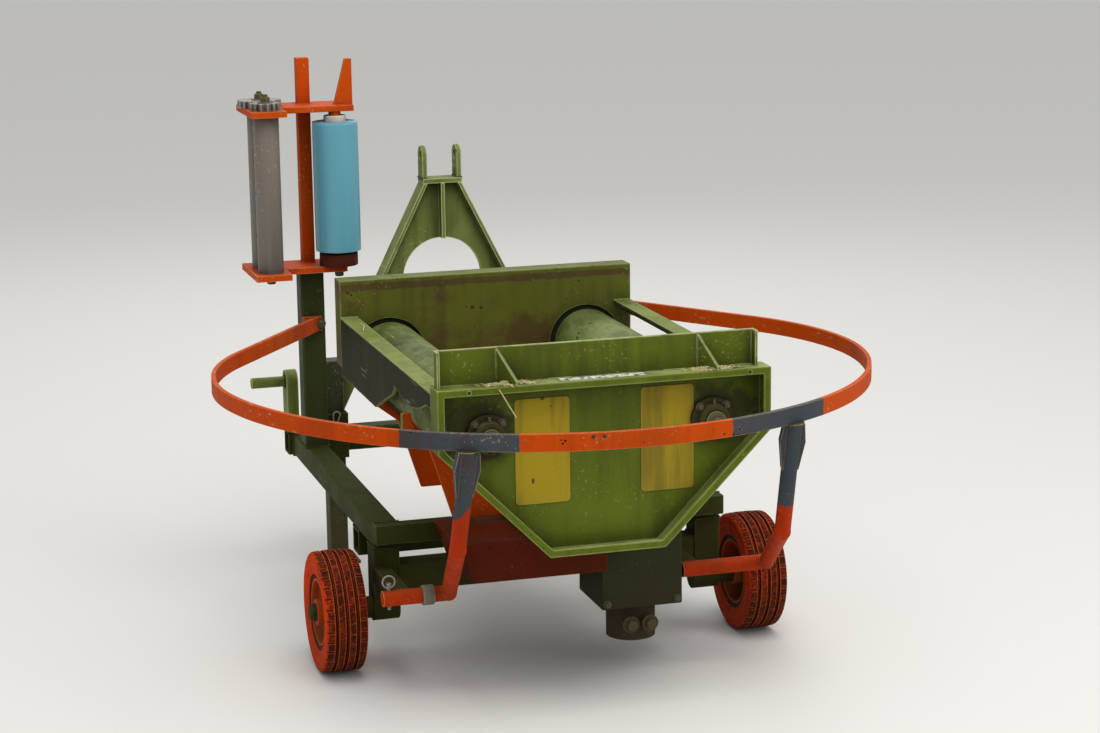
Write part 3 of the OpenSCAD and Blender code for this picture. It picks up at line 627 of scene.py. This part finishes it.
def bead(path, radius, closed=False, ripple=0.0, spacing=1.6, around=6, seed=1):
    # A round bead along a path. Its radius swells and shrinks by the share ripple once in each
    # rippleLength, and by seeded unevenness a few millimetres long.
    corners = floats(path)
    if closed:
        corners = np.concatenate([corners, corners[:1]])
    lengths = np.linalg.norm(np.diff(corners, axis=0), axis=1)
    reached = np.concatenate([[0.0], np.cumsum(lengths)])
    count = max(3, int(reached[-1] / spacing)) + 1
    along = np.linspace(0, reached[-1], count)
    middle = np.stack([np.interp(along, reached, corners[:, k]) for k in range(3)], -1)
    side, rise, _ = axesAlong(np.gradient(middle, axis=0) + 1e-9)
    uneven = np.random.default_rng(seed).normal(0, 1, count)
    uneven = np.convolve(uneven, np.ones(5) / 5, "same")
    wave = np.sin(2 * np.pi * along / rippleLength + uneven)
    swell = 1 + ripple * (wave + 0.8 * uneven)
    if closed:
        middle, side, rise, swell = middle[:-1], side[:-1], rise[:-1], swell[:-1]
        count -= 1
    angles = np.arange(around) * 2 * np.pi / around
    reach = radius * swell[:, None, None]
    spread = np.cos(angles)[:, None] * side[:, None] + np.sin(angles)[:, None] * rise[:, None]
    points = middle[:, None] + reach * spread
    cells = [ringFaces(count, around, closed)]
    return points.reshape(-1, 3), cells if closed else cells + endFaces(count, around)


def placed(name, data):
    thing = bpy.data.objects.new(name, data)
    scene.collection.objects.link(thing)
    return thing


def addPiece(name, shape, finish, body, sharp=38.0):
    points, cells = shape
    mesh = bpy.data.meshes.new(name)
    faces = [face for cell in cells for face in cell.tolist()]
    mesh.from_pydata(toFrame(points).tolist(), [], faces)
    mesh.shade_smooth()
    mesh.set_sharp_from_angle(angle=math.radians(sharp))
    mesh.materials.append(materials[finish])
    piece = placed(name, mesh)
    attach(piece, body)
    return piece


# Wheels: four ribs round the tread, cross cuts in the ribs, bulged sides with a raised ring

tyreForm = {
    "radius": 111.0, "crown": 1.8, "halfWidth": 38.0,
    "grooves": (-19.0, 0.0, 19.0), "grooveHalf": 3.4, "grooveWall": 0.9, "grooveDepth": 7.0,
    "ribLines": (9.5, 26.0, 28.5, 31.5),  # rows of points on the ribs, either side of the middle
    "outerRib": (23.6, 37.0), "innerRib": (4.2, 14.8), "treadFoot": 104.0,
    "cuts": 34, "cutDepth": 3.6, "cutEdge": 0.9, "cutRamp": 0.05,
    "innerShare": 0.4, "innerSlant": 0.09, "steps": 544,
    # The side from the tread down to the bead: distance from the middle, radius
    "side": ((34.0, 109.2), (36.2, 107.4), (37.6, 104.4), (38.0, 100.0), (37.9, 94.0),
             (37.4, 89.5), (38.0, 88.6), (38.0, 87.2), (37.2, 86.3), (36.4, 81.0),
             (35.0, 73.0), (33.4, 67.0), (31.6, 63.8), (29.0, 62.4)),
}
valveForm = {"profile": [[2.6, 0], [2.6, 6], [3.4, 6.4], [3.4, 13], [2.9, 13.8]], "steps": 14,
             "place": (14.0, -41.0, 28.0), "way": (1.0, -0.5, 0.35)}


def between(values, limits):
    return (values > limits[0]) & (values < limits[1])


def tyreShape():
    # Radius on the tread: a flat arch, less a flat-bottomed groove round each groove line, less
    # cross cuts where a cosine round the wheel passes cutEdge
    form = tyreForm
    grooves, lines, side = (np.array(form[key]) for key in ("grooves", "ribLines", "side"))
    beside = form["grooveHalf"] + np.array([1.0, 0.0, -form["grooveWall"]])
    offsets = np.concatenate([-beside, [0.0], beside])
    across = np.sort(np.concatenate([np.add.outer(grooves, offsets).ravel(), -lines, lines]))
    arch = form["radius"] - form["crown"] * (across / form["halfWidth"]) ** 2
    near = np.abs(across[:, None] - grooves).min(1)
    groove = np.clip((form["grooveHalf"] - near) / form["grooveWall"], 0, 1)
    tread = np.stack([across, arch - form["grooveDepth"] * groove], -1)
    profile = np.concatenate([(side * [-1, 1])[::-1], tread, side])
    width, radius = profile[:, :1], profile[:, 1:]
    angles = np.arange(form["steps"]) * 2 * np.pi / form["steps"]
    outer = between(np.abs(width), form["outerRib"])
    inner = between(np.abs(width), form["innerRib"])
    wave = np.cos(form["cuts"] * angles + np.where(inner, form["innerSlant"] * width, np.pi))
    share = (outer + form["innerShare"] * inner) * (radius > form["treadFoot"])
    cut = np.clip((wave - form["cutEdge"]) / form["cutRamp"], 0, 1) * share
    points = roundAxis(radius - form["cutDepth"] * cut, angles, width)
    return points, [ringFaces(len(profile), form["steps"], True)]


for side, half, body in ((-1, "left", "wheel_l"), (1, "right", "wheel_r")):
    mirror = np.array([side, 1, 1])
    middle = wheelMiddle * mirror
    tyre = addPiece("treadedTyre" + half.title(), copied(tyreShape(), middle, (side, 0, 0)),
                    "tyreRubber", body, 30.0)
    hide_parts("tyre_" + half)
    valve = copied(spun(valveForm["profile"], valveForm["steps"]),
                   middle + valveForm["place"] * mirror, valveForm["way"] * mirror)
    addPiece("valve" + half.title(), valve, "tyreRubber", body)
print("tyres made")


# Film roll: smooth outside, ends stepped where the layers wander in and out

filmForm = {
    "place": (-260.0, 525.0, 0.0), "radius": 45.0, "core": 22.3, "low": 682.0, "high": 938.0,
    "layers": 30, "layerStep": 0.12, "lastLayer": 0.5, "wander": 0.7, "seed": 7,
    "rows": 40, "margin": 0.8, "barrel": 0.35, "steps": 160,
}


def filmShape():
    # On an end the radius grows in equal layers, each at its own seeded height. The outside
    # draws in by barrel towards the ends, with the cube of the distance from its middle.
    form = filmForm
    draw = np.random.default_rng(form["seed"])
    radii = np.linspace(form["core"], form["radius"] - form["lastLayer"], form["layers"])
    radii = np.repeat(radii, 2)
    radii[1:-1] += np.tile([-form["layerStep"], form["layerStep"]], form["layers"] - 1)
    wander = np.abs(draw.normal(0, form["wander"], (2, form["layers"])))
    wander = np.repeat(wander, 2, 1)
    heights = np.linspace(form["low"] + form["margin"], form["high"] - form["margin"], form["rows"])
    fromMiddle = np.abs(heights - heights.mean()) / (heights[-1] - heights.mean())
    out = form["radius"] - form["barrel"] * fromMiddle ** 3
    rows = np.concatenate([np.stack([radii, form["low"] + wander[0]], -1),
                           np.stack([out, heights], -1),
                           np.stack([radii, form["high"] - wander[1]], -1)[::-1]])
    return spun(rows, form["steps"], True)


film = addPiece("filmRoll", copied(filmShape(), filmForm["place"], (0, 0, 1)), "filmWrap",
                "film_roll", 25.0)
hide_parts("film")
print("film roll made")


# Hexagon heads on washers

boltForm = {
    "washerWide": 0.92, "washerTop": 0.87, "face": 0.94, "stud": 0.3, "studEnd": 0.24,  # of the flats
    "sunk": 0.4, "washer": 1.6, "bevel": 0.4, "shoulder": 0.8, "studBevel": 0.8,
}
inFront, behind, below, above = (0, -1, 0), (0, 1, 0), (0, 0, -1), (0, 0, 1)
quarters = [45, 135, 225, 315]
rollerX, rollerZ = 200, 496


def hexHead(flats, height, stud=0.0):
    # Rings of twelve points. On the head they are corners and middles of flats by turns, on the
    # washer and the stud they lie on circles.
    form = boltForm
    turn = np.arange(12)
    disc = np.ones(12)
    hexagon = np.where(turn % 2 == 0, flats / math.sqrt(3), flats / 2)
    radii = [disc * flats * form["washerWide"]] * 2 + [disc * flats * form["washerTop"]]
    radii += [hexagon, hexagon, disc * flats / 2 * form["face"]]
    foot, top = form["washer"], form["washer"] + height
    heights = [-form["sunk"], foot - form["bevel"], foot, foot, foot + height * form["shoulder"], top]
    if stud:
        radii += [disc * flats * form["stud"]] * 3 + [disc * flats * form["studEnd"]]
        heights += [top, top + stud / 2, top + stud - form["studBevel"], top + stud]
    points = roundAxis(np.stack(radii), turn * np.pi / 6, np.array(heights)[:, None])
    return points, [ringFaces(len(heights), 12)] + endFaces(len(heights), 12)


def addBolts(name, rows, body):
    # Each row: width across the flats, height of the head, places, the way the heads face
    heads = [copied(hexHead(flats, height), places, way) for flats, height, places, way in rows]
    addPiece(name, together(heads), "boltSteel", body)


def onCircle(middle, radius, degrees, plane):
    # Points round a circle about middle, in the plane "xy", "xz" or "yz"
    angles = np.radians(floats(degrees))
    spots = np.tile(floats(middle), (len(angles), 1))
    spots[:, "xyz".index(plane[0])] += radius * np.cos(angles)
    spots[:, "xyz".index(plane[1])] += radius * np.sin(angles)
    return spots


frameRows = [
    (13, 7, [(x, 552, 530) for x in (-320, -297, 297, 320)], inFront),  # ends of the hoop
    (8, 4.5, [(x, -215, z) for x in (58, 190) for z in (131, 264)], inFront),  # motor box
    (10, 6, onCircle((124, -144.5, 120), 53, quarters, "xy"), below),  # motor flange
    (16, 9, [(-405, 546, 640), (-405, 480, 640), (-260, 525, 640)], below),  # dispenser plate
    (17, 9, [(106, -203.5, 85), (142, -203.5, 85)], inFront),  # plugs in the motor's ports
]
addBolts("frameBolts", frameRows, "frame")
caseSpots = np.concatenate([
    onCircle((-rollerX, 395, rollerZ), 74, [90, 140, 180, 262], "xz"),
    onCircle((rollerX, 395, rollerZ), 74, [90, 40, 0, 278], "xz"),
    floats([(x, 395, z) for x in (-100, 0, 100) for z in (440, 552)])])
tableRows = [
    (8.5, 5, onCircle((-rollerX, -375, rollerZ), 33, quarters, "xz"), inFront),  # bearings
    (8.5, 5, onCircle((rollerX, -375, rollerZ), 33, quarters, "xz"), inFront),
    (10, 6, caseSpots, behind),  # chain case
]
addBolts("tableBolts", tableRows, "table")
for side, body in ((-1, "roller_l"), (1, "roller_r")):
    ends = [(15, 8, (side * rollerX, -393, rollerZ), inFront),
            (15, 8, (side * rollerX, 399, rollerZ), behind)]
    addBolts("shaftBolts_" + body, ends, body)
for y, body in ((546, "stretch_a"), (480, "stretch_b")):
    nut = copied(hexHead(17, 10, 5), (-405, y, 984.3), above)
    addPiece("gearNut_" + body, nut, "boltSteel", body)
print("bolts made")


# Weld beads along the seams

weldPlaces = {
    "rail": (284, 332), "railHeight": (227, 275), "leg": (-50, 0), "legHeight": (141, 194),
    "centreBeam": (76, 124), "rearPost": (560, 610), "mast": (700, 748), "mastPlate": (719, 729),
    "mastFoot": (236.5, 292.5), "sleeve": (224.7, 275.3), "pinPlate": (317.5, 341.5),
    "ear": (31.5, 41.5), "mastTop": 780, "rearPostTop": 640,
    "footTubes": ((-332, -302), (205, 235)), "tube": (-200, 178, 14.6),
    "hoopPosts": (-276.0, 288.0), "hoopRadius": 600.0, "hoopFoot": 514,
    "dispenserPost": ((-324, -299), (570, 595)), "plateTop": 652, "armFoot": 970,
    "rib": (-262, -224), "ribFaces": (521, 529),
    "boardFoot": (-374.5, 588), "boardRuns": (-286, -190, -95, 10, 110, 232), "boardRun": 42,
    "gussets": (-182, 174), "gussetSlant": 40.0, "gussetRun": 37, "gussetHalf": 3,
    "bottomHalf": 90, "bottomHeight": (286, 291, 330), "sideBeam": (260, 295, 575),
    "sideWeb": (289, 458, 489), "endPlates": (-359, 359), "carriers": (-124, -116, 116, 124),
    "legCap": 239, "sleeveFoot": 228, "beamEnd": 105, "pinBoss": (724, 380, 12),
    "earDepth": (704, 744), "earFoot": 790, "tubeHeight": (165, 191), "arch": (-40, 40),
    "ripple": 0.14,
}


def levelRing(x, y, z, side=1):
    corners = [(x[0], y[0]), (x[1], y[0]), (x[1], y[1]), (x[0], y[1])]
    return [(a * side, b, z) for a, b in corners]


def uprightRing(across, at, a, z, side=1):
    # A rectangle that stands in the plane x = at or y = at
    corners = [(a[0], z[0]), (a[1], z[0]), (a[1], z[1]), (a[0], z[1])]
    return [(at, b, c) if across == "x" else (b * side, at, c) for b, c in corners]


def weld(path, radius, closed=False, seed=1):
    return bead(path, radius, closed, weldPlaces["ripple"], seed=seed)


def sideWelds(side):
    at = weldPlaces
    inner, outer = (side * x for x in at["rail"])
    low, top = at["railHeight"]
    front, back = at["leg"]
    rear, mast = at["rearPost"], at["mast"]
    foot0, foot1 = (side * x for x in at["mastFoot"])
    sleeve0, sleeve1 = (side * x for x in at["sleeve"])
    bossY, bossZ, boss = at["pinBoss"]
    rows = [
        (levelRing(at["rail"], at["leg"], low, side), 2.3, True),
        (uprightRing("x", inner, at["leg"], at["legHeight"]), 2.6, True),
        ([(inner, front, top), (outer, front, top)], 2.2, False),
        ([(inner, front, at["legCap"]), (outer, front, at["legCap"])], 2.6, False),
        (levelRing(at["rail"], rear, top, side), 2.6, True),
        (levelRing(at["pinPlate"], mast, top, side), 2.6, True),
        *[([(foot0, y, top), (foot1, y, top)], 2.6, False) for y in at["mastPlate"]],
        ([(foot1, mast[0], top), (foot1, mast[1], top)], 2.4, False),
        ([(sleeve0, mast[0], top), (sleeve1, mast[0], top)], 2.6, False),
        *[([(x, mast[0], z) for z in (at["sleeveFoot"], top)], 2.4, False)
          for x in (sleeve0, sleeve1)],
        (uprightRing("y", mast[0], at["rail"], at["railHeight"], side), 2.4, True),
        *[([(inner, y, low), (outer, y, low)], 2.4, False) for y in at["centreBeam"]],
        ([(at["beamEnd"] * side, y, low) for y in at["centreBeam"]], 2.4, False),
        (onCircle((side * at["pinPlate"][1], bossY, bossZ), boss, range(0, 360, 9), "yz"), 2.4, True),
        (levelRing(at["ear"], at["earDepth"], at["earFoot"], side), 2.2, True),
    ]
    return [weld(*row, seed) for seed, row in enumerate(rows, 1)]


def frameWeldShapes():
    at = weldPlaces
    shapes = sideWelds(-1) + sideWelds(1)
    y, z, radius = at["tube"]
    for x in np.ravel(at["footTubes"]):
        arc = onCircle((x, y, z), radius, np.linspace(-66, 66, 15), "yz")
        shapes.append(weld(arc, 2.2, seed=20))
    for ends in at["footTubes"]:
        shapes.append(weld(uprightRing("y", at["leg"][0], ends, at["tubeHeight"]), 2.4, True, 21))
    for x in at["hoopPosts"]:
        spot = np.array([x, -math.sqrt(at["hoopRadius"] ** 2 - x * x)])
        out = spot / at["hoopRadius"]
        along = np.array([-out[1], out[0]])
        plan = [spot + out * r + along * t for r, t in ((7, -18), (7, 18), (-7, 18), (-7, -18))]
        shapes.append(weld([(p[0], p[1], at["hoopFoot"]) for p in plan], 2.4, True, 22))
    for y, seed in zip(at["mastPlate"], (23, 24)):
        shapes.append(weld([(x, y, at["mastTop"]) for x in at["arch"]], 2.4, seed=seed))
    shapes.append(weld(levelRing((-332, -284), at["rearPost"], at["rearPostTop"]), 2.4, True, 25))
    return shapes


def dispenserWeldShapes():
    at = weldPlaces
    top = at["armFoot"]
    shapes = [weld(levelRing(*at["dispenserPost"], at["plateTop"]), 2.0, True, 31),
              weld(levelRing(*at["dispenserPost"], top), 1.8, True, 32)]
    for y, seed in zip(at["ribFaces"], (33, 34)):
        shapes.append(weld([(x, y, top) for x in at["rib"]], 1.6, seed=seed))
    return shapes


def tableWeldShapes():
    at = weldPlaces
    y, z = at["boardFoot"]
    shapes = [weld([(start, y, z), (start + at["boardRun"], y, z)], 2.0, seed=start + 400)
              for start in at["boardRuns"]]
    slant = math.radians(at["gussetSlant"])
    run = np.array([math.sin(slant), -math.cos(slant), 0])
    aside = np.array([run[1], -run[0], 0]) * at["gussetHalf"]
    for x in at["gussets"]:
        for foot in (np.array([x, y, z]) - aside, np.array([x, y, z]) + aside):
            shapes.append(weld([foot, foot + run * at["gussetRun"]], 1.7, seed=41))
    low, above, top = at["bottomHeight"]
    inner, outer, beamTop = at["sideBeam"]
    web, webLow, webTop = at["sideWeb"]
    half = at["bottomHalf"]
    for s in (-1, 1):
        for y in at["endPlates"]:
            shapes.append(weld([(inner * s, y, beamTop), (outer * s, y, beamTop)], 1.8, seed=42))
            shapes.append(weld([(half * s, y, low), (half * s, y, top)], 2.2, seed=43))
        for y in at["carriers"]:
            shapes.append(weld([(half * s, y, above), (half * s, y, top)], 2.0, seed=44))
            shapes.append(weld([(web * s, y, webLow), (web * s, y, webTop)], 1.8, seed=45))
    for y in sorted(at["endPlates"] + at["carriers"]):
        shapes.append(weld([(-half, y, top), (half, y, top)], 2.3, seed=46))
    return shapes


for name, shapes, finish, slot, body in (
        ("frameWelds", frameWeldShapes(), "frameGreenShaded", "frame_green", "frame"),
        ("dispenserWelds", dispenserWeldShapes(), "orangePaint", "orange_paint", "frame"),
        ("cradleWelds", tableWeldShapes(), "cradlePaint", "cradle_green", "table")):
    addPiece(name, together(shapes), finish, body, 60.0)
print("welds made")


# Blank plates on the front, a worn pale strip on the flange

plateForm = {
    "left": {"size": (97, 184), "middle": (-103.5, -365, 463)},
    "right": {"size": (96, 184), "middle": (120, -365, 468)},
    "radius": 7, "thickness": 1.2,
    "strip": {"size": (154, 23), "middle": (-4, -388.5, 588), "radius": 2, "thickness": 0.8},
    "sunk": 0.3, "bevel": 0.3,
}


def thinPlate(width, height, radius, thickness):
    # Outline: a quarter circle in each corner of the rectangle; the face a little smaller
    quarter = np.radians(np.arange(0, 91, 15))
    turns = np.concatenate([quarter + k * np.pi / 2 for k in range(4)])
    centres = np.repeat(np.array([[1, 1], [-1, 1], [-1, -1], [1, -1]]), len(quarter), 0)
    outward = np.stack([np.cos(turns), np.sin(turns)], -1)
    sunk, bevel = plateForm["sunk"], plateForm["bevel"]

    def ring(inset, level):
        flat = centres * [width / 2 - radius, height / 2 - radius] + outward * (radius - inset)
        return np.concatenate([flat, np.full((len(flat), 1), level)], 1)

    rings = [ring(0, -sunk), ring(0, thickness - sunk), ring(bevel, thickness)]
    return np.concatenate(rings), [ringFaces(3, len(turns))] + endFaces(3, len(turns))


def standing(shape, origin, right, up):
    points, cells = shape
    axes = floats([right, up, np.cross(right, up)])
    return floats(origin) + points @ axes, cells


yellowPlates = together([
    standing(thinPlate(*plate["size"], plateForm["radius"], plateForm["thickness"]),
             plate["middle"], (1, 0, 0), (0, 0, 1))
    for plate in (plateForm["left"], plateForm["right"])])
addPiece("blankPlates", yellowPlates, "yellowPlate", "table")
strip = plateForm["strip"]
strip = standing(thinPlate(*strip["size"], strip["radius"], strip["thickness"]), strip["middle"],
                 (1, 0, 0), (0, 1, 0))
addPiece("paleStrip", strip, "paleStripPaint", "table")


# Pins: one through each stand sleeve with a spring clip, a ring pin and a collar on the left
# foot tube

pinForm = {
    "lock": [[6, 0], [6.2, 52], [11, 52.4], [12, 54], [12, 57], [10, 59.5], [5, 60.5]],
    "lockPlace": (250, 641, 296), "clipAhead": 4.0, "clipWire": 1.7,
    "clip": (-26, 22), "eye": 7, "clipWave": 6, "waveTurns": 9, "clipEnd": -20,
    "linch": [[3.2, -20], [3.4, -18], [3.4, 22], [4.6, 22.6], [4.6, 27], [3.6, 28]],
    "linchPlace": (-339, -200, 178), "ringUp": 30.0, "ring": 11.0, "ringWire": 1.5,
    "collar": [[14.3, 0], [17.5, 0.6], [18.0, 2.0], [18.0, 19.0], [17.5, 20.4], [14.3, 21]],
    "collarPlace": (-280, -200, 178),
}


def springClip(origin):
    # A straight leg, a round eye and a leg that waves past the pin as a sine
    eye, (low, top) = pinForm["eye"], pinForm["clip"]
    half = np.linspace(0, np.pi, 20)
    wave = np.linspace(0, 1, 60)[:20] * pinForm["waveTurns"]
    x = np.concatenate([np.zeros(20), eye - eye * np.cos(half),
                        2 * eye - pinForm["clipWave"] * np.sin(wave)])
    z = np.concatenate([np.linspace(low, top, 20), top + eye * np.sin(half),
                        np.linspace(top - 1, pinForm["clipEnd"], 20)])
    path = np.stack([x - eye, np.zeros(60), z], -1) + origin
    return bead(path, pinForm["clipWire"], around=8)


pinShapes = []
for side in (-1, 1):
    place = np.array(pinForm["lockPlace"]) * [side, 1, 1]
    pinShapes.append(copied(spun(pinForm["lock"], 28), place, behind))
    pinShapes.append(springClip(place + [0, pinForm["clipAhead"], 0]))
linchPlace = np.array(pinForm["linchPlace"])
pinShapes.append(copied(spun(pinForm["linch"], 18), linchPlace, above))
ring = onCircle(linchPlace + [0, 0, pinForm["ringUp"]], pinForm["ring"], range(0, 360, 10), "xz")
pinShapes.append(bead(ring, pinForm["ringWire"], True, around=8))
pinShapes.append(copied(spun(pinForm["collar"], 48, True), pinForm["collarPlace"], (1, 0, 0)))
addPiece("pinsAndClips", together(pinShapes), "bareSteel", "frame")


# Small holes, each a dark disc as painted shade in place of the opening, with a rim on the flange; a
# grease nipple on each bearing

holeForm = {
    "rim": [[3.2, 0.1], [4.6, 0.1], [4.6, 0.7], [3.4, 0.9], [3.2, 0.5]],
    "disc": [[0.05, 0.05], [3.3, 0.05], [3.3, 0.3], [0.05, 0.3]], "steps": 24,
    "onFlange": [(-240, -405, 581), (256, -405, 581)],
    "onHoop": (-86.0, -68.0), "hoopHeight": 538.0, "hoopFace": 603.9,
}
nippleForm = {"profile": [[3.4, -1], [3.4, 3], [2.2, 3.6], [2.2, 5], [2.9, 6], [2.4, 7.6], [1.2, 8.4]],
              "y": -382, "z": 524}
rim = spun(holeForm["rim"], holeForm["steps"], True)
disc = spun(holeForm["disc"], holeForm["steps"])
addPiece("flangeHoleRims", copied(rim, holeForm["onFlange"], inFront), "cradlePaint",
         "table")
addPiece("flangeHoleShadows", copied(disc, holeForm["onFlange"], inFront), "blackCasting",
         "table")
hoopX = np.array(holeForm["onHoop"])
hoopY = -np.sqrt(holeForm["hoopFace"] ** 2 - hoopX ** 2)
hoopSpots = np.column_stack([hoopX, hoopY, np.full(2, holeForm["hoopHeight"])])
addPiece("hoopHoleShadows", copied(disc, hoopSpots, hoopSpots * [1, 1, 0]), "blackCasting",
         "frame")
nipple = spun(nippleForm["profile"], 14)
nipplePlaces = [(x, nippleForm["y"], nippleForm["z"]) for x in (-rollerX, rollerX)]
addPiece("greaseNipples", copied(nipple, nipplePlaces, above), "boltSteel", "table")
print("plates, pins and holes made")


# Straws caught on the cradle: each a thin tube along three straight runs

strawForm = {"radius": 1.1, "ripple": 0.05, "spacing": 6.0, "around": 5}
strawPaths = [
    [(-194, -398, 589.4), (-187, -406.4, 581), (-173, -407, 556), (-160, -405.6, 534)],
    [(-176, -378, 590), (-160, -384, 592), (-138, -396, 589.6), (-126, -403, 589.4)],
    [(-200, -380, 589.4), (-186, -392, 590), (-171, -399, 591), (-166, -412, 588)],
    [(168, -378, 590), (186, -387, 591), (204, -392, 589.5), (219, -401, 589.4)],
    [(196, -380, 589.4), (189, -390, 591), (174, -397, 589.6), (160, -402, 589.4)],
    [(-60, -70, 331.2), (-20, -58, 333), (12, -63, 331.2), (40, -52, 331.2)],
    [(20, 40, 331.2), (44, 66, 332), (52, 88, 331.2), (58, 110, 331.2)],
    [(-70, 190, 331.2), (-40, 214, 332), (-24, 250, 331.2), (-28, 276, 331.2)],
    [(-283, 210, 576.2), (-277, 232, 577), (-270, 262, 576.2), (-272, 286, 576.2)],
]
straws = together([bead(path, **strawForm, seed=k) for k, path in enumerate(strawPaths)])
addPiece("strayStraws", straws, "strawColour", "table")

chaffForm = {
    "middles": [[-166.0, -391.0], [190.0, -391.0]], "stalks": 210, "spread": (20.0, 6.0),
    "reach": (-402, -378), "lift": (-0.1, 0.35), "heap": 6.0, "floor": 589.0, "seed": 11,
    "stalk": [[0.7, -5.0], [0.8, 0.0], [0.5, 5.5]],
}


def chaffShape():
    # Short four-sided stalks lying every way, heaped round the feet of the two gussets. The
    # heap's height falls off as a bell curve.
    form = chaffForm
    draw = np.random.default_rng(form["seed"])
    near = np.repeat(np.array(form["middles"]), form["stalks"], 0)
    apart = draw.normal(0, 1, near.shape)
    flat = near + apart * form["spread"]
    flat[:, 1] = np.clip(flat[:, 1], *form["reach"])
    turns = draw.uniform(0, 2 * np.pi, len(flat))
    ways = np.stack([np.cos(turns), np.sin(turns), draw.uniform(*form["lift"], len(flat))], -1)
    heaped = form["heap"] * np.exp(-(apart ** 2).sum(1)) + 1
    spots = np.column_stack([flat, form["floor"] + draw.uniform(0, 1, len(flat)) * heaped])
    return copied(spun(form["stalk"], 4), spots, ways)


addPiece("gussetChaff", chaffShape(), "strawColour", "table")
print("straws and chaff laid")


# Edges of the nodes rounded, by these widths in metres, the others by the usual one

edgeForm = {"usual": 0.0012, "joined": 0.00002, "segments": 2, "sharperThan": 42.0}
edgeWidths = {
    0.003: ["drive_cover", "motor_box", "chain_case"],
    0.0015: ["bearing_housings", "slew_motor", "pedestal", "roll_disc", "film_core"],
    0.0006: ["stretch_roller_a", "stretch_roller_b"],
    0.0: ["film", "tyre_left", "tyre_right", "turntable_hub", "roller_left", "roller_right",
          "guard_posts"],  # replaced, or round already
}
widthOf = {name: width for width, names in edgeWidths.items() for name in names}
for name, node in cadNodes.items():
    width = widthOf.get(name, edgeForm["usual"])
    if width:
        joined = node.modifiers.new("joinedCorners", "WELD")
        joined.merge_threshold = edgeForm["joined"]
        rounded = node.modifiers.new("roundedEdges", "BEVEL")
        rounded.width = width
        rounded.segments = edgeForm["segments"]
        rounded.limit_method = "ANGLE"
        rounded.angle_limit = math.radians(edgeForm["sharperThan"])
        rounded.harden_normals = True
print("edges rounded")


# Floor, light and camera

stage = {
    "floor": 60.0, "floorColour": paint(214, 212, 206), "floorRoughness": 0.9, "floorSpecular": 0.2,
    "backdrop": paint(226, 227, 228), "sky": (0.97, 0.98, 1.0, 1.0), "skyLow": 0.24, "skyHigh": 0.9,
}


def makeFloor():
    half = stage["floor"] / 2
    mesh = bpy.data.meshes.new("floor")
    corners = [(-half, -half, 0), (half, -half, 0), (half, half, 0), (-half, half, 0)]
    mesh.from_pydata(corners, [], [(0, 1, 2, 3)])
    material, _, shader = newMaterial("paleFloor")
    shader.inputs["Base Color"].default_value = stage["floorColour"]
    shader.inputs["Roughness"].default_value = stage["floorRoughness"]
    shader.inputs["Specular IOR Level"].default_value = stage["floorSpecular"]
    mesh.materials.append(material)
    placed("floor", mesh)


def makeWorld():
    world = bpy.data.worlds.new("softSky")
    world.use_nodes = True
    tree = world.node_tree
    tree.nodes.clear()
    way = addNode(tree, "SeparateXYZ", {0: addNode(tree, "TexCoord").outputs["Generated"]})
    level = ease(way.outputs["Z"], -0.1, 0.9, stage["skyLow"], stage["skyHigh"])
    light = addNode(tree, "Background", {"Color": stage["sky"], "Strength": level})
    pale = addNode(tree, "Background", {"Color": stage["backdrop"], "Strength": 1.0})
    rays = addNode(tree, "LightPath").outputs
    seen = larger(rays["Is Camera Ray"], rays["Is Glossy Ray"])
    seen = larger(seen, rays["Is Transmission Ray"])
    mixed = addNode(tree, "MixShader", {0: seen, 1: light.outputs[0], 2: pale.outputs[0]})
    addNode(tree, "OutputWorld", {"Surface": mixed.outputs[0]})
    scene.world = world


lamps = {
    "keyLamp": {"place": (0.3, -1.7, 4.4), "size": 3.4, "power": 122.0},
    "fillLamp": {"place": (3.0, -3.2, 2.2), "size": 3.0, "power": 30.0},
    "leftLamp": {"place": (-3.4, -2.6, 2.0), "size": 3.0, "power": 9.0},
    "backLamp": {"place": (0.8, 3.6, 3.2), "size": 2.6, "power": 34.0},
}


lampAim = (0.0, 0.0, 0.4)


def aimed(place, aim):
    # The turn that points a lamp or a camera at place towards aim
    return (Vector(aim) - Vector(place)).to_track_quat("-Z", "Y")


def makeLamps():
    for name, lamp in lamps.items():
        data = bpy.data.lights.new(name, "AREA")
        data.size = lamp["size"]
        data.energy = lamp["power"]
        holder = placed(name, data)
        holder.location = lamp["place"]
        holder.rotation_euler = aimed(lamp["place"], lampAim).to_euler()


photoView = {
    "place": (-1.269, -4.433, 1.481),  # worked out from the lines of the photograph
    "aim": (0.041, 0.0, 0.512), "roll": -0.0135, "lens": 82.8, "sensor": 36.0,
}


def makeCamera():
    data = bpy.data.cameras.new("photoCamera")
    data.sensor_width = photoView["sensor"]
    data.lens = photoView["lens"]
    camera = placed("photoCamera", data)
    turn = aimed(photoView["place"], photoView["aim"])
    camera.rotation_mode = "QUATERNION"
    camera.rotation_quaternion = turn @ Quaternion((0, 0, 1), photoView["roll"])
    camera.location = photoView["place"]
    scene.camera = camera


makeFloor()
makeWorld()
makeLamps()
makeCamera()
print("floor, light and camera placed")
